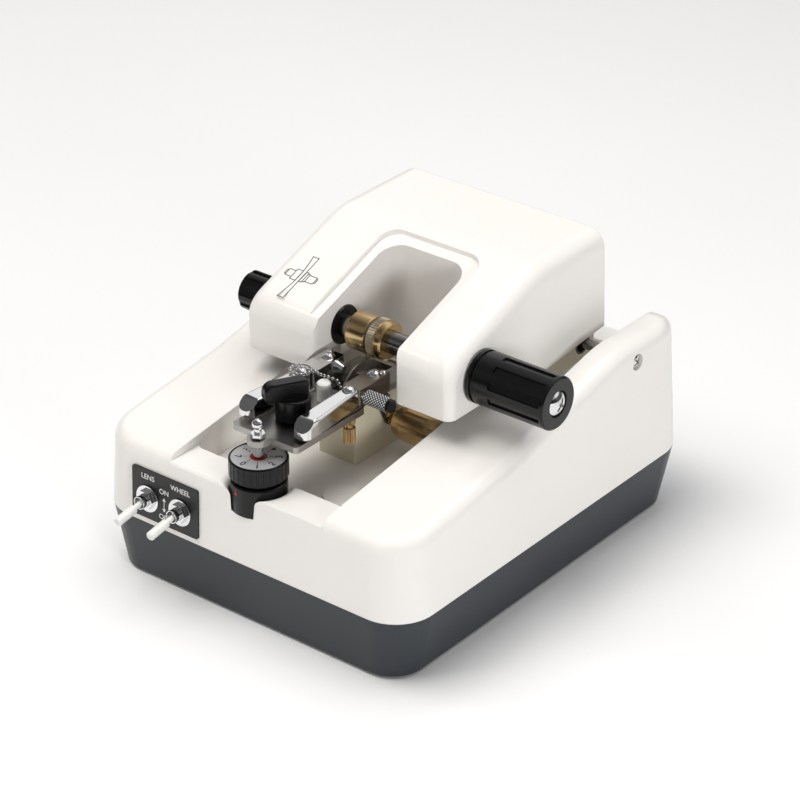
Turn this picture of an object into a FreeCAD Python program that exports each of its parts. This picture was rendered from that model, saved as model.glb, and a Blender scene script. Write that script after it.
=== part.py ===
import FreeCAD, Part
import math
import os
from FreeCAD import Vector

os.makedirs("parts", exist_ok=True)

# Lens groover: a bench machine that cuts the thread groove in the edge of a spectacle lens.
# All sizes are millimetres. The machine stands on z = 0 and faces -Y, and +X is its right
# side seen from the front. x = 0 and y = 0 are the middle of the housing.

# Fits shared by all the pieces
RUN_FIT = 0.05          # radial play of a shaft that turns
MOVE_GAP = 0.4          # space beside a piece that moves
SEAT_FIT = 0.1          # play round a piece that is fixed

# Body shell
BODY_WIDTH = 175.0
BODY_LENGTH = 216.0
WALL = 3.0
DRAFT = 0.044           # sideways lean of the walls per unit of height
FRONT_CORNER = 19.5     # plan radius of the front corners at the seam
REAR_CORNER = 24.0
FOOT_STANDOFF = 1.5
SEAM_Z = 31.0           # where the dark tray meets the white housing

# Base tray, which narrows downwards
TRAY_SIDE_INSET = 5.7
TRAY_FRONT_INSET = 4.0
TRAY_REAR_INSET = 8.4
TRAY_CORNER = 15.5
TRAY_FLOOR = 3.0
FOOT_RADIUS = 8.0
FOOT_RECESS = 1.5
FOOT_SIDE_X = 56.0
FOOT_FRONT_Y = -78.0
FOOT_REAR_Y = 70.0

# Screws that hold the housing on the tray
POST_X = 71.0
POST_FRONT_Y = -89.0
POST_REAR_Y = 84.0
POST_RADIUS = 5.5
BASE_SCREW_RADIUS = 2.0
BASE_SCREW_HEAD_RADIUS = 3.6
BASE_SCREW_HEAD = 2.4
BASE_SCREW_LENGTH = 42.0
BASE_SCREW_HOLE_TOP = 46.0

# Side line of the wings: height of the top at places along the length
WING_FRONT_TOP = 68.3
WING_BREAK_Y = -30.0
WING_BREAK_TOP = 78.4
WING_REAR_Y = 50.0
WING_REAR_TOP = 95.5
WING_BEND_RADIUS = 70.0
WING_EDGE_ROUND = 7.0

# Middle of the front wall and the tub between the wings
FRONT_TOP_Z = 66.0
FRONT_EDGE_ROUND = 1.6
TUB_HALF_WIDTH = 43.0
TUB_FRONT_Y = -89.0
TUB_REAR_Y = 55.0
TUB_FLOOR_Z = 55.0
TUB_CORNER = 4.0
FLOOR_BOSS_RADIUS = 8.5
FLOOR_BOSS_HEIGHT = 1.6
FLOOR_BOSS_X = 23.0
FLOOR_BOSS_Y = -69.0

# Wide recess behind the tub, in which the head tilts
RECESS_HALF_WIDTH = 70.5
RECESS_FRONT_Y = 10.0
RECESS_REAR_Y = 93.0
RECESS_FLOOR_Z = 70.0
RECESS_CORNER = 5.0
REAR_WALL_TOP = 71.5
WING_FALL_Y = 93.0      # behind this the wings' tops fall towards the rear
WING_FALL = 0.7         # drop per unit of length there
WING_FALL_RADIUS = 14.0

# Tilting head
HEAD_HALF_WIDTH = 57.5
HEAD_TOP_Z = 139.0
HEAD_FRONT_Y = -38.5
HEAD_REAR_Y = 76.5
HEAD_REAR_LEAN = 2.5
HEAD_BOTTOM_Z = 90.0
HEAD_SIDE_DROP = 3.5
ROOF_SLOPE = 0.367
ROOF_BEND_Y = 24.0
ROOF_BEND_RADIUS = 40.0
HEAD_FRONT_ROUND = 15.0
HEAD_EDGE_ROUND = 9.0
HEAD_REAR_ROUND = 1.5
HEAD_CORNER_ROUND = 4.5  # of the upright front edges, growing to the edge round along the roof
ARM_EDGE_ROUND = 3.0     # of the arms' upright front edges beside the lens
HEAD_WALL = 2.6
ARM_LEFT_X = -17.4     # inner faces of the two arms
ARM_RIGHT_X = 27.0
OPENING_REAR_Y = 15.5
EASE_TOP_Z = 100.0       # step under the left arm that clears the lens guide
EASE_X = -17.6
EASE_SLOPE = 1.3
OPENING_CORNER = 10.0
BORDER = 5.0           # recessed border round the opening
BORDER_REAR = 5.0
BORDER_DEPTH = 2.2
BORDER_CORNER = 9.0

# Hinge of the head
HINGE_Y = 62.3
HINGE_Z = 86.7
HINGE_RADIUS = 2.5
HINGE_SHAFT_END = BODY_WIDTH / 2 - 8.5
HINGE_BOSS_RADIUS = 7.0
HINGE_BUSH_RADIUS = 5.5
HINGE_BUSH_PROUD = 0.0
HINGE_BUSH_RIM = 1.0
HINGE_BUSH_DISH = 1.8
HINGE_SCREW_RADIUS = 1.5
HINGE_SCREW_HEAD_RADIUS = 3.7
HINGE_SCREW_HEAD = 2.2
HINGE_SCREW_DEPTH = 5.0

# Inner frame of the head
FRAME_THICK = 2.8
FRAME_FRONT_Y = 22.0
FRAME_REAR_Y = 71.0
FRAME_BOTTOM_Z = 78.0
FRAME_TOP_Z = 112.0
FRAME_BACK_BOTTOM_Z = 92.0
FRAME_NOSE_Z = 84.0

# Lens shaft and its chucks
SHAFT_Y = -18.0
SHAFT_Z = 105.2
SHAFT_RADIUS = 5.2
CHUCK_RADIUS = 8.8
CHUCK_LEFT_X = -10.4    # outer ends of the two brass chucks
CHUCK_RIGHT_X = 9.3
CONTACT_X = 0.5        # where the two pads meet on the lens
PAD_THICK = 0.5
PAD_GAP = 0.2           # between the two pads
PAD_RADIUS = 8.2
KNURL_WIDTH = 4.5
KNURL_RADIUS = 9.1
KNURL_TEETH = 48
FLANGE_RADIUS = 9.3
FLANGE_THICK = 1.0
BUSH_RADIUS = 6.6
BUSH_LENGTH = 6.0
BUSH_PROUD = 0.2         # of the outer sides of the head
CLAMP_TRAVEL = 9.0
SLEEVE_RADIUS = 7.0
SLEEVE_LENGTH = 8.0
SLEEVE_X = 34.0

# Knobs on the lens shaft
KNOB_RADIUS = 12.1
KNOB_GAP = 0.5         # between the arm and the knob
KNOB_COLLAR = 2.5
KNOB_NECK = 1.4
KNOB_NECK_RADIUS = 11.3
CLAMP_KNOB_END_X = 99.0
LEFT_KNOB_LENGTH = 14.3
LEFT_KNOB_RADIUS = 9.2
KNOB_FLUTES = 10
KNOB_FLUTE_WIDTH = 3.4
KNOB_FLUTE_DEPTH = 0.9
KNOB_FLUTE_MARGIN = 8.5
KNOB_END_ROUND = 0.8
KNOB_SCREW_RADIUS = 6.0
KNOB_SCREW_HEIGHT = 2.6
KNOB_SCREW_SHANK = 2.5
KNOB_SCREW_DEPTH = 10.0
KNOB_SCREW_SEAT = 1.0    # depth of the seat of the screw in the end of the knob
KNOB_STOP = 8.0          # from the end of the knob to the end of the shaft in it

# Lens drive in the left arm
GEAR_MODULE = 0.7
GEAR_TEETH = 20          # on the shaft and on the motor alike
GEAR_X = -32.0
GEAR_WIDTH = 4.0
GEAR_DEDENDUM = 1.2      # depth of a tooth under the pitch circle, in modules
GEAR_ADDENDUM = 0.9      # its height above the pitch circle, in modules
TOOTH_FOOT = 0.72        # half widths at the foot and crest, as shares of the tooth fill
TOOTH_CREST = 0.26
TOOTH_FILL = 0.42       # tooth width at the pitch circle as a share of the pitch
LENS_MOTOR_RADIUS = 7.0
LENS_MOTOR_LENGTH = 20.0
MOTOR_SHAFT_RADIUS = 1.5

# Grooving wheel and its housing
WHEEL_Y = -27.0
WHEEL_Z = 81.3
WHEEL_RADIUS = 15.0
WHEEL_THICK = 1.0
WHEEL_HUB_RADIUS = 7.5
WHEEL_HUB_THICK = 2.5
SPINDLE_RADIUS = 2.0
BEARING_RADIUS = 3.4
WHEEL_BOX_LEFT_X = -11.5
WHEEL_BOX_RIGHT_X = 10.0
WHEEL_BOX_FRONT_Y = -44.0
WHEEL_BOX_REAR_Y = -1.0
WHEEL_BOX_TOP_Z = 84.3
WELL_GAP = 1.5
PULLEY_RADIUS = 2.6
PULLEY_WIDTH = 3.0
PULLEY_X = 12.0
BELT_THICK = 0.7
MOTOR_Y = -22.0
MOTOR_Z = 70.3
MOTOR_NOSE_RADIUS = 6.6
MOTOR_NOSE_X = 16.4
MOTOR_NOSE_LENGTH = 5.2
MOTOR_RADIUS = 8.0
MOTOR_END_X = 46.5
MOTOR_TAIL_RADIUS = 4.6
MOTOR_TAIL_END_X = 58.0
MOTOR_EDGE_ROUND = 1.6

# Stage that carries the lens guides
STAGE_HALF_WIDTH = 18.2
STAGE_FRONT_Y = -93.0
STAGE_STEP_Y = -48.0
STAGE_REAR_HALF_WIDTH = 14.0
STAGE_BOTTOM_Z = 85.3
STAGE_THICK = 3.0
STAGE_PIVOT_Y = -6.0
STAGE_PIVOT_RADIUS = 1.5
STAGE_BARREL_RADIUS = 2.9
STAGE_SLOT_HALF_WIDTH = 4.2
STAGE_CORNER = 2.0
TAB_RADIUS = 4.7
EAR_THICK = 3.0

# Lens guides: pinched handles in front, pads beside the wheel behind
GUIDE_PIVOT_X = 13.5
GUIDE_PIVOT_Y = -52.5
LEVER_BOTTOM_Z = 88.6
LEVER_THICK = 1.1
HANDLE_TIP_Y = -88.3
HANDLE_REAR_Y = -50.5
HANDLE_TOP_Z = 97.5
HANDLE_TIP_HALF = 4.0
HANDLE_MID_HALF = 4.5
HANDLE_REAR_HALF = 3.6
HANDLE_TIP_ROUND = 3.4
HANDLE_TURN = 3.5        # degrees by which each grip points outwards
HANDLE_EDGE_ROUND = 1.4
BLOCK_INNER_X = 8.4
BLOCK_OUTER_X = 17.6
BLOCK_FRONT_Y = -50.2
BLOCK_REAR_Y = -29.0
GUIDE_TIP_Y = -34.5
GUIDE_TIP_Z = 94.3
GUIDE_TIP_RADIUS = 3.0
GUIDE_TIP_REACH = 3.9
PIVOT_SCREW_RADIUS = 1.5
PIVOT_HEAD_RADIUS = 3.2
PIVOT_HEAD_HEIGHT = 2.0
BLOCK_SCREW_Y = -34.5
SMALL_SCREW_RADIUS = 1.7
SMALL_SCREW_Y = -30.9
SCREW_DEPTH = 4.0
PIVOT_NUT_RADIUS = 2.8
PIVOT_NUT_BOTTOM_Z = 72.0

# Post, chain, mode knob and adjuster on the stage
POST_PLUG_Y = -53.0
POST_PLUG_RADIUS = 3.1
POST_PLUG_TOP_Z = 97.5
CHAIN_RADIUS = 0.75
CHAIN_LOOP_RADIUS = 4.7
CHAIN_LIFT = 0.95       # chain centre above what it lies on
MODE_KNOB_Y = -73.6
MODE_BODY_RADIUS = 7.8
MODE_BODY_BOTTOM_Z = 89.7
MODE_BODY_TOP_Z = 99.5
MODE_STEM_RADIUS = 4.6
MODE_SHAFT_RADIUS = 2.5
MODE_WING_TOP_Z = 107.5
MODE_WING_BOTTOM_Z = 98.0
MODE_WING_HALF_THICK = 3.0
MODE_WING_FRONT = 13.5
MODE_WING_REAR = 6.8
MODE_WING_ROUND = 2.6
MODE_REST_ANGLE = 30.0  # the wing points front left
ADJUSTER_Y = -47.9
ADJUSTER_Z = 94.3
ADJUSTER_RADIUS = 3.3
ADJUSTER_START_X = 20.0
ADJUSTER_END_X = 33.5
ADJUSTER_CAP = 1.6
ADJUSTER_THREAD_RADIUS = 1.5
ADJUSTER_THREAD_DEPTH = 4.0
ADJUSTER_KNURLS = 28

# Depth dial in its pocket in the front wall
DIAL_X = -1.0
DIAL_Y = -BODY_LENGTH / 2 + 12.5
POCKET_RADIUS = 13.0
POCKET_RIM_ROUND = 4.0
DIAL_BASE_RADIUS = 12.4
DIAL_BASE_TOP_Z = 68.6
DIAL_NECK_RADIUS = 10.8
DIAL_NECK_TOP_Z = 70.4
DIAL_TOP_Z = 79.2
DIAL_RADIUS = 13.0
DIAL_FLUTES = 28
DIAL_FLUTE_RADIUS = 0.55
DIAL_RIM = 1.0
DIAL_FACE_THICK = 0.6
DIAL_FACE_DEPTH = 0.3
DIAL_HUB_RADIUS = 3.8
DIAL_HUB_DEPTH = 0.8
DIAL_HUB_THICK = 0.5
ROD_RADIUS = 1.6
ROD_BALL_RADIUS = 2.5
ROD_BALL_Z = 94.6
ROD_BOTTOM_Z = 60.0
ROD_NUT_RADIUS = 3.4
ROD_NUT_THICK = 1.8
ROD_SLEEVE_RADIUS = 2.3
ROD_SLEEVE_TOP_Z = 83.6
ROD_HOLE_GAP = 0.8

# Switches on the front wall
PANEL_WIDTH = 38.4
PANEL_HEIGHT = 24.0
PANEL_THICK = 1.0
PANEL_CENTRE_X = -44.8
PANEL_CENTRE_Z = 46.0
PANEL_CORNER = 1.2
LENS_SWITCH_X = -54.6
WHEEL_SWITCH_X = -35.6
SWITCH_Z = 44.2
BUSHING_RADIUS = 3.0
BUSHING_LENGTH = 6.0
WASHER_RADIUS = 6.3
WASHER_THICK = 0.8
SWITCH_NUT_RADIUS = 4.7
SWITCH_NUT_THICK = 1.9
SWITCH_BODY_WIDTH = 8.0
SWITCH_BODY_HEIGHT = 13.0
SWITCH_BODY_DEPTH = 11.0
LEVER_RADIUS = 1.3
LEVER_SLEEVE_RADIUS = 2.1
LEVER_LENGTH = 17.5
LEVER_SLEEVE_START = 6.6
LEVER_TILT = 13.0
LEVER_BALL_RADIUS = 2.2
LEVER_PIN_RADIUS = 0.7
LEVER_PIN_HALF = 2.2
LEVER_BORE_GAP = 0.3

# Power parts at the rear
INLET_X = -40.0
INLET_WIDTH = 27.5
INLET_HEIGHT = 19.5
INLET_DEPTH = 16.0
INLET_FLANGE = 2.0
INLET_FLANGE_OVER = 2.0
SOCKET_WALL = 2.0
INLET_PIN_WIDTH = 4.0
INLET_PIN_THICK = 2.0
INLET_PIN_SPACING = 7.0
INLET_Z = 17.5
TRANSFORMER_X = 38.0
TRANSFORMER_Y = 48.0
TRANSFORMER_WIDTH = 44.0
TRANSFORMER_DEPTH = 36.0
TRANSFORMER_HEIGHT = 34.0
TRANSFORMER_COIL = 6.0

X_AXIS = Vector(1, 0, 0)
Y_AXIS = Vector(0, 1, 0)
Z_AXIS = Vector(0, 0, 1)
BIG = 300.0             # past every part of the machine


# Shared building blocks


def save(node, shape):
    """Writes one piece, or one group of like pieces, as its own file."""
    if not shape.isValid():
        print("not valid:", node)
    shape.exportStep("parts/" + node + ".step")
    return shape


def box(x0, x1, y0, y1, z0, z1):
    return Part.makeBox(x1 - x0, y1 - y0, z1 - z0, Vector(x0, y0, z0))


def rod_x(radius, x0, x1, y, z):
    return Part.makeCylinder(radius, x1 - x0, Vector(x0, y, z), X_AXIS)


def rod_y(radius, y0, y1, x, z):
    return Part.makeCylinder(radius, y1 - y0, Vector(x, y0, z), Y_AXIS)


def rod_z(radius, z0, z1, x, y):
    return Part.makeCylinder(radius, z1 - z0, Vector(x, y, z0), Z_AXIS)


def turned_z(points, x, y):
    """A solid turned about the upright line at x, y from (radius, height) points."""
    corners = [Vector(x + radius, y, z) for radius, z in points]
    face = Part.Face(Part.makePolygon(corners + corners[:1]))
    return face.revolve(Vector(x, y, 0), Z_AXIS, 360)


def turned_x(points, y, z):
    """A solid turned about the line along X at y, z from (x, radius) points."""
    corners = [Vector(x, y, z + radius) for x, radius in points]
    face = Part.Face(Part.makePolygon(corners + corners[:1]))
    return face.revolve(Vector(0, y, z), X_AXIS, 360)


def rounded_wire(corners):
    """A closed outline through (point, radius) corners, with tangent arcs at the corners."""
    count = len(corners)
    starts, ends, middles = [], [], []
    for i in range(count):
        before, here, after = corners[i - 1][0], corners[i][0], corners[(i + 1) % count][0]
        radius = corners[i][1]
        to_before = (before - here).normalize()
        to_after = (after - here).normalize()
        half = to_before.getAngle(to_after) / 2
        trim = radius / math.tan(half)
        centre_way = (to_before + to_after).normalize()
        starts.append(here + to_before * trim)
        ends.append(here + to_after * trim)
        middles.append(here + centre_way * (radius / math.sin(half) - radius))
    edges = []
    for i in range(count):
        if corners[i][1] > 0:
            edges.append(Part.Arc(starts[i], middles[i], ends[i]).toShape())
        following = starts[(i + 1) % count]
        if (following - ends[i]).Length > 1e-6:
            edges.append(Part.LineSegment(ends[i], following).toShape())
    return Part.Wire(edges)


def side_slab(outline, x0, x1):
    """A slab between x0 and x1 whose side view is an outline of (y, z, radius) corners."""
    wire = rounded_wire([(Vector(x0, y, z), radius) for y, z, radius in outline])
    return Part.Face(wire).extrude(Vector(x1 - x0, 0, 0))


def plan_slab(outline, z0, z1):
    """A slab between z0 and z1 whose plan is an outline of (x, y, radius) corners."""
    wire = rounded_wire([(Vector(x, y, z0), radius) for x, y, radius in outline])
    return Part.Face(wire).extrude(Vector(0, 0, z1 - z0))


def rounded_block(x0, x1, y0, y1, z0, z1, radius):
    return plan_slab([(x0, y0, radius), (x1, y0, radius), (x1, y1, radius), (x0, y1, radius)], z0, z1)


def mirrored(shape):
    return shape.mirror(Vector(0, 0, 0), X_AXIS)


def turned_about(shape, centre, axis, degrees):
    copy = shape.copy()
    copy.rotate(centre, axis, degrees)
    return copy


def edges_where(shape, test):
    """The edges whose middle point and length pass a test."""
    chosen = []
    for edge in shape.Edges:
        middle = edge.valueAt((edge.FirstParameter + edge.LastParameter) / 2)
        if test(middle, edge.BoundBox):
            chosen.append(edge)
    return chosen


def dome(radius, height, centre, direction):
    """A round screw head: the cap of a ball, its flat side on centre."""
    ball_radius = (radius * radius + height * height) / (2 * height)
    ball = Part.makeSphere(ball_radius, centre + direction * (height - ball_radius))
    keep = Part.makeCylinder(radius, height, centre, direction)
    return ball.common(keep)


def cross_slot(centre, direction, across, size, width, depth):
    """Two crossed slots cut into a screw head from its outer end."""
    other = direction.cross(across)
    slots = []
    for way in (across, other):
        side = direction.cross(way)
        corner = centre - way * (size / 2) - side * (width / 2) - direction * depth
        points = [corner, corner + way * size, corner + way * size + side * width, corner + side * width]
        slots.append(Part.Face(Part.makePolygon(points + points[:1])).extrude(direction * (2 * depth)))
    return slots[0].fuse(slots[1])


def hexagon_z(across_corners_radius, z0, z1, x, y):
    points = []
    for i in range(6):
        angle = math.radians(60 * i + 30)
        points.append(Vector(x + across_corners_radius * math.cos(angle),
                             y + across_corners_radius * math.sin(angle), z0))
    return Part.Face(Part.makePolygon(points + points[:1])).extrude(Vector(0, 0, z1 - z0))


# Body shell


def body_loop(z, inset):
    """The plan outline of the housing at a height, moved in by an inset."""
    lean = DRAFT * (z - SEAM_Z) + inset
    x = BODY_WIDTH / 2 - lean
    y = BODY_LENGTH / 2 - lean
    front = FRONT_CORNER - inset
    rear = REAR_CORNER - inset
    corners = [(-x, -y, front), (x, -y, front), (x, y, rear), (-x, y, rear)]
    return rounded_wire([(Vector(cx, cy, z), radius) for cx, cy, radius in corners])


def tray_loop(z, inset):
    """The plan outline of the tray's narrow bottom, moved in by an inset."""
    x = BODY_WIDTH / 2 - TRAY_SIDE_INSET - inset
    front = -BODY_LENGTH / 2 + TRAY_FRONT_INSET + inset
    rear = BODY_LENGTH / 2 - TRAY_REAR_INSET - inset
    radius = TRAY_CORNER - inset
    corners = [(-x, front, radius), (x, front, radius), (x, rear, radius), (-x, rear, radius)]
    return rounded_wire([(Vector(cx, cy, z), r) for cx, cy, r in corners])


def post_places():
    return [(side * POST_X, y) for side in (-1, 1) for y in (POST_FRONT_Y, POST_REAR_Y)]


def foot_places():
    corners = [(side * FOOT_SIDE_X, y) for side in (-1, 1) for y in (FOOT_FRONT_Y, FOOT_REAR_Y)]
    return corners + [(0, 0)]


def wall_y(z):
    """The outer face of the front wall at a height."""
    return -BODY_LENGTH / 2 + DRAFT * (z - SEAM_Z)


def inlet_cut():
    half = INLET_WIDTH / 2 + SEAT_FIT
    low = INLET_Z - INLET_HEIGHT / 2 - SEAT_FIT
    high = INLET_Z + INLET_HEIGHT / 2 + SEAT_FIT
    front = BODY_LENGTH / 2 - TRAY_REAR_INSET - INLET_FLANGE - INLET_DEPTH
    return box(INLET_X - half, INLET_X + half, front, BIG, low, high)


def make_base_tray():
    bottom = FOOT_STANDOFF
    outer = Part.makeLoft([tray_loop(bottom, 0), body_loop(SEAM_Z, 0)], True, True)
    inner = Part.makeLoft([tray_loop(bottom + TRAY_FLOOR, WALL), body_loop(SEAM_Z, WALL)], True, True)
    tray = outer.cut(inner)
    for x, y in post_places():
        post = rod_z(POST_RADIUS, bottom + TRAY_FLOOR / 2, SEAM_Z, x, y)
        tray = tray.fuse(post)
    for x, y in post_places():
        tray = tray.cut(rod_z(BASE_SCREW_RADIUS + SEAT_FIT, 0, BIG, x, y))
        tray = tray.cut(rod_z(BASE_SCREW_HEAD_RADIUS + SEAT_FIT, 0, bottom + BASE_SCREW_HEAD, x, y))
    for x, y in foot_places():
        tray = tray.cut(rod_z(FOOT_RADIUS + SEAT_FIT, 0, bottom + FOOT_RECESS, x, y))
    flange_front = BODY_LENGTH / 2 - TRAY_REAR_INSET
    pad_half = INLET_WIDTH / 2 + INLET_FLANGE_OVER + WALL
    pad = box(INLET_X - pad_half, INLET_X + pad_half, flange_front - 2 * WALL, BODY_LENGTH / 2,
              bottom + TRAY_FLOOR / 2, SEAM_Z)
    tray = tray.fuse(pad.common(outer))
    seat_half = INLET_WIDTH / 2 + INLET_FLANGE_OVER + SEAT_FIT
    seat_low = INLET_Z - INLET_HEIGHT / 2 - INLET_FLANGE_OVER - SEAT_FIT
    seat_high = INLET_Z + INLET_HEIGHT / 2 + INLET_FLANGE_OVER + SEAT_FIT
    tray = tray.cut(box(INLET_X - seat_half, INLET_X + seat_half, flange_front - INLET_FLANGE, BIG, seat_low,
                        seat_high))
    return tray.cut(inlet_cut()).removeSplitter()


def make_rubber_feet():
    top = FOOT_STANDOFF + FOOT_RECESS
    return Part.makeCompound([rod_z(FOOT_RADIUS, 0, top, x, y) for x, y in foot_places()])


def make_base_screws():
    screws = []
    for x, y in post_places():
        head_bottom = FOOT_STANDOFF
        head = rod_z(BASE_SCREW_HEAD_RADIUS, head_bottom, head_bottom + BASE_SCREW_HEAD, x, y)
        shank = rod_z(BASE_SCREW_RADIUS, head_bottom, head_bottom + BASE_SCREW_LENGTH, x, y)
        slot = cross_slot(Vector(x, y, head_bottom), Vector(0, 0, -1), X_AXIS, BASE_SCREW_HEAD_RADIUS, 0.8,
                          1.2)
        screws.append(head.fuse(shank).cut(slot))
    return Part.makeCompound(screws)


def wing_profile(drop):
    """Side view under the top line of the wings, lowered by a drop."""
    ends = BODY_LENGTH
    front_slope = (WING_BREAK_TOP - WING_FRONT_TOP) / (WING_BREAK_Y + BODY_LENGTH / 2)
    front_top = WING_FRONT_TOP - front_slope * (ends - BODY_LENGTH / 2)
    rear_end = BODY_LENGTH / 2 + WING_FALL_RADIUS
    rear_top = WING_REAR_TOP - WING_FALL * (rear_end - WING_FALL_Y)
    return [(-ends, SEAM_Z, 0), (-ends, front_top - drop, 0), (WING_BREAK_Y, WING_BREAK_TOP - drop,
                                                               WING_BEND_RADIUS),
            (WING_REAR_Y, WING_REAR_TOP - drop, WING_BEND_RADIUS), (WING_FALL_Y, WING_REAR_TOP - drop,
                                                                    WING_FALL_RADIUS),
            (rear_end, rear_top - drop, 0), (rear_end, SEAM_Z, 0)]


def housing_block(inset):
    """The housing as a full solid, moved in on all sides by an inset."""
    top = WING_REAR_TOP + WALL
    walls = Part.makeLoft([body_loop(SEAM_Z, inset), body_loop(top, inset)], True, True)
    return walls.common(side_slab(wing_profile(inset), -BODY_WIDTH, BODY_WIDTH))


def top_rim(middle, size):
    upright = size.ZLength > 10 and size.XLength < 6 and size.YLength < 6
    across_top = abs(middle.x) < 1 and abs(middle.y) < BODY_LENGTH / 2 - REAR_CORNER
    return middle.z > SEAM_Z + 10 and not upright and not across_top


def tub_hollows(grow):
    """The tub, the recess behind it and the lowered front edge, each grown by a wall."""
    top = BIG
    tub = rounded_block(-TUB_HALF_WIDTH - grow, TUB_HALF_WIDTH + grow, TUB_FRONT_Y - grow, TUB_REAR_Y + grow,
                        TUB_FLOOR_Z - grow, top, TUB_CORNER)
    recess = rounded_block(-RECESS_HALF_WIDTH - grow, RECESS_HALF_WIDTH + grow, RECESS_FRONT_Y - grow,
                           RECESS_REAR_Y + grow, RECESS_FLOOR_Z - grow, top, RECESS_CORNER)
    front = box(-TUB_HALF_WIDTH - grow, TUB_HALF_WIDTH + grow, -BODY_LENGTH, TUB_FRONT_Y + TUB_CORNER + grow,
                FRONT_TOP_Z - grow, top)
    rear = box(-RECESS_HALF_WIDTH - grow, RECESS_HALF_WIDTH + grow, RECESS_REAR_Y - RECESS_CORNER - grow,
               BODY_LENGTH,
               REAR_WALL_TOP - grow, top)
    return [tub, recess, front, rear]


def panel_frame(shape):
    """Moves a piece drawn on an upright wall at y = 0 onto the leaning front wall."""
    lean = math.degrees(math.atan(DRAFT))
    copy = shape.copy()
    copy.rotate(Vector(0, 0, SWITCH_Z), X_AXIS, -lean)
    copy.translate(Vector(0, wall_y(SWITCH_Z), 0))
    return copy


def hinge_cuts():
    """The bores through the hinge bosses and the screw heads' seats in the outer walls."""
    cuts = []
    wall_x = BODY_WIDTH / 2 - DRAFT * (HINGE_Z - SEAM_Z)
    for side in (1, -1):
        bore = rod_x(HINGE_RADIUS + RUN_FIT, RECESS_HALF_WIDTH - 1, HINGE_SHAFT_END, HINGE_Y, HINGE_Z)
        hole = rod_x(HINGE_SCREW_RADIUS + SEAT_FIT, HINGE_SHAFT_END - 1, BIG, HINGE_Y, HINGE_Z)
        seat = rod_x(HINGE_SCREW_HEAD_RADIUS + SEAT_FIT, wall_x - HINGE_SCREW_HEAD, BIG, HINGE_Y, HINGE_Z)
        cut = bore.fuse(hole).fuse(seat)
        cuts.append(cut if side > 0 else mirrored(cut))
    return cuts


def make_front_wall():
    """The low middle of the front wall, with its top edge rounded."""
    walls = Part.makeLoft([body_loop(SEAM_Z, 0), body_loop(FRONT_TOP_Z, 0)], True, True)
    wall = walls.common(box(-TUB_HALF_WIDTH, TUB_HALF_WIDTH, -BODY_LENGTH, TUB_FRONT_Y, TUB_FLOOR_Z - WALL,
                            FRONT_TOP_Z))
    edge = edges_where(wall, lambda middle,
                       size: middle.y < TUB_FRONT_Y - WALL and middle.z > FRONT_TOP_Z - 0.1
                       and size.XLength > TUB_HALF_WIDTH)
    return wall.makeFillet(FRONT_EDGE_ROUND, edge)


def dial_pocket():
    """The space cut for the depth dial, with a rounded rim at the top of the wall."""
    wide = POCKET_RADIUS + POCKET_RIM_ROUND + 1
    space = rod_z(POCKET_RADIUS, TUB_FLOOR_Z, BIG, DIAL_X, DIAL_Y).fuse(rod_z(wide, FRONT_TOP_Z, BIG, DIAL_X,
                                                                              DIAL_Y))
    rim = edges_where(space, lambda middle,
                      size: abs(middle.z - FRONT_TOP_Z) < 0.01 and size.XLength < 2 * POCKET_RADIUS + 1
                      and size.XLength > POCKET_RADIUS)
    return space.makeFillet(POCKET_RIM_ROUND, rim)


def make_upper_housing():
    block = housing_block(0)
    block = block.makeFillet(WING_EDGE_ROUND, edges_where(block, top_rim))
    for hollow in tub_hollows(0):
        block = block.cut(hollow)
    block = block.fuse(make_front_wall())
    cavity = housing_block(WALL)
    for hollow in tub_hollows(WALL):
        cavity = cavity.cut(hollow)
    pocket_wall = rod_z(POCKET_RADIUS + WALL, SEAM_Z, BIG, DIAL_X, DIAL_Y)
    cavity = cavity.cut(pocket_wall.common(box(-BIG, BIG, -BIG, BIG, TUB_FLOOR_Z - WALL, BIG)))
    for side in (-1, 1):
        inner, outer = sorted((side * RECESS_HALF_WIDTH, side * BODY_WIDTH / 2))
        cavity = cavity.cut(rod_x(HINGE_BOSS_RADIUS, inner, outer, HINGE_Y, HINGE_Z))
    for x, y in post_places():
        cavity = cavity.cut(rod_z(POST_RADIUS, SEAM_Z, BIG, x, y))
    housing = block.cut(cavity)
    housing = housing.cut(dial_pocket())
    housing = housing.fuse(rod_z(FLOOR_BOSS_RADIUS, TUB_FLOOR_Z - WALL / 2, TUB_FLOOR_Z + FLOOR_BOSS_HEIGHT,
                                 FLOOR_BOSS_X, FLOOR_BOSS_Y))
    for cut in hinge_cuts():
        housing = housing.cut(cut)
    for x, y in post_places():
        housing = housing.cut(rod_z(BASE_SCREW_RADIUS + SEAT_FIT, 0, BASE_SCREW_HOLE_TOP, x, y))
    for x in (LENS_SWITCH_X, WHEEL_SWITCH_X):
        housing = housing.cut(panel_frame(rod_y(BUSHING_RADIUS + SEAT_FIT, -10, 10, x, SWITCH_Z)))
    motor_hole = rod_x(MOTOR_RADIUS + SEAT_FIT, TUB_HALF_WIDTH - 1, TUB_HALF_WIDTH + WALL + 1, MOTOR_Y,
                       MOTOR_Z)
    return housing.cut(motor_hole).removeSplitter()


# Switches, drawn on an upright wall at y = 0 and then moved onto the front wall


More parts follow.
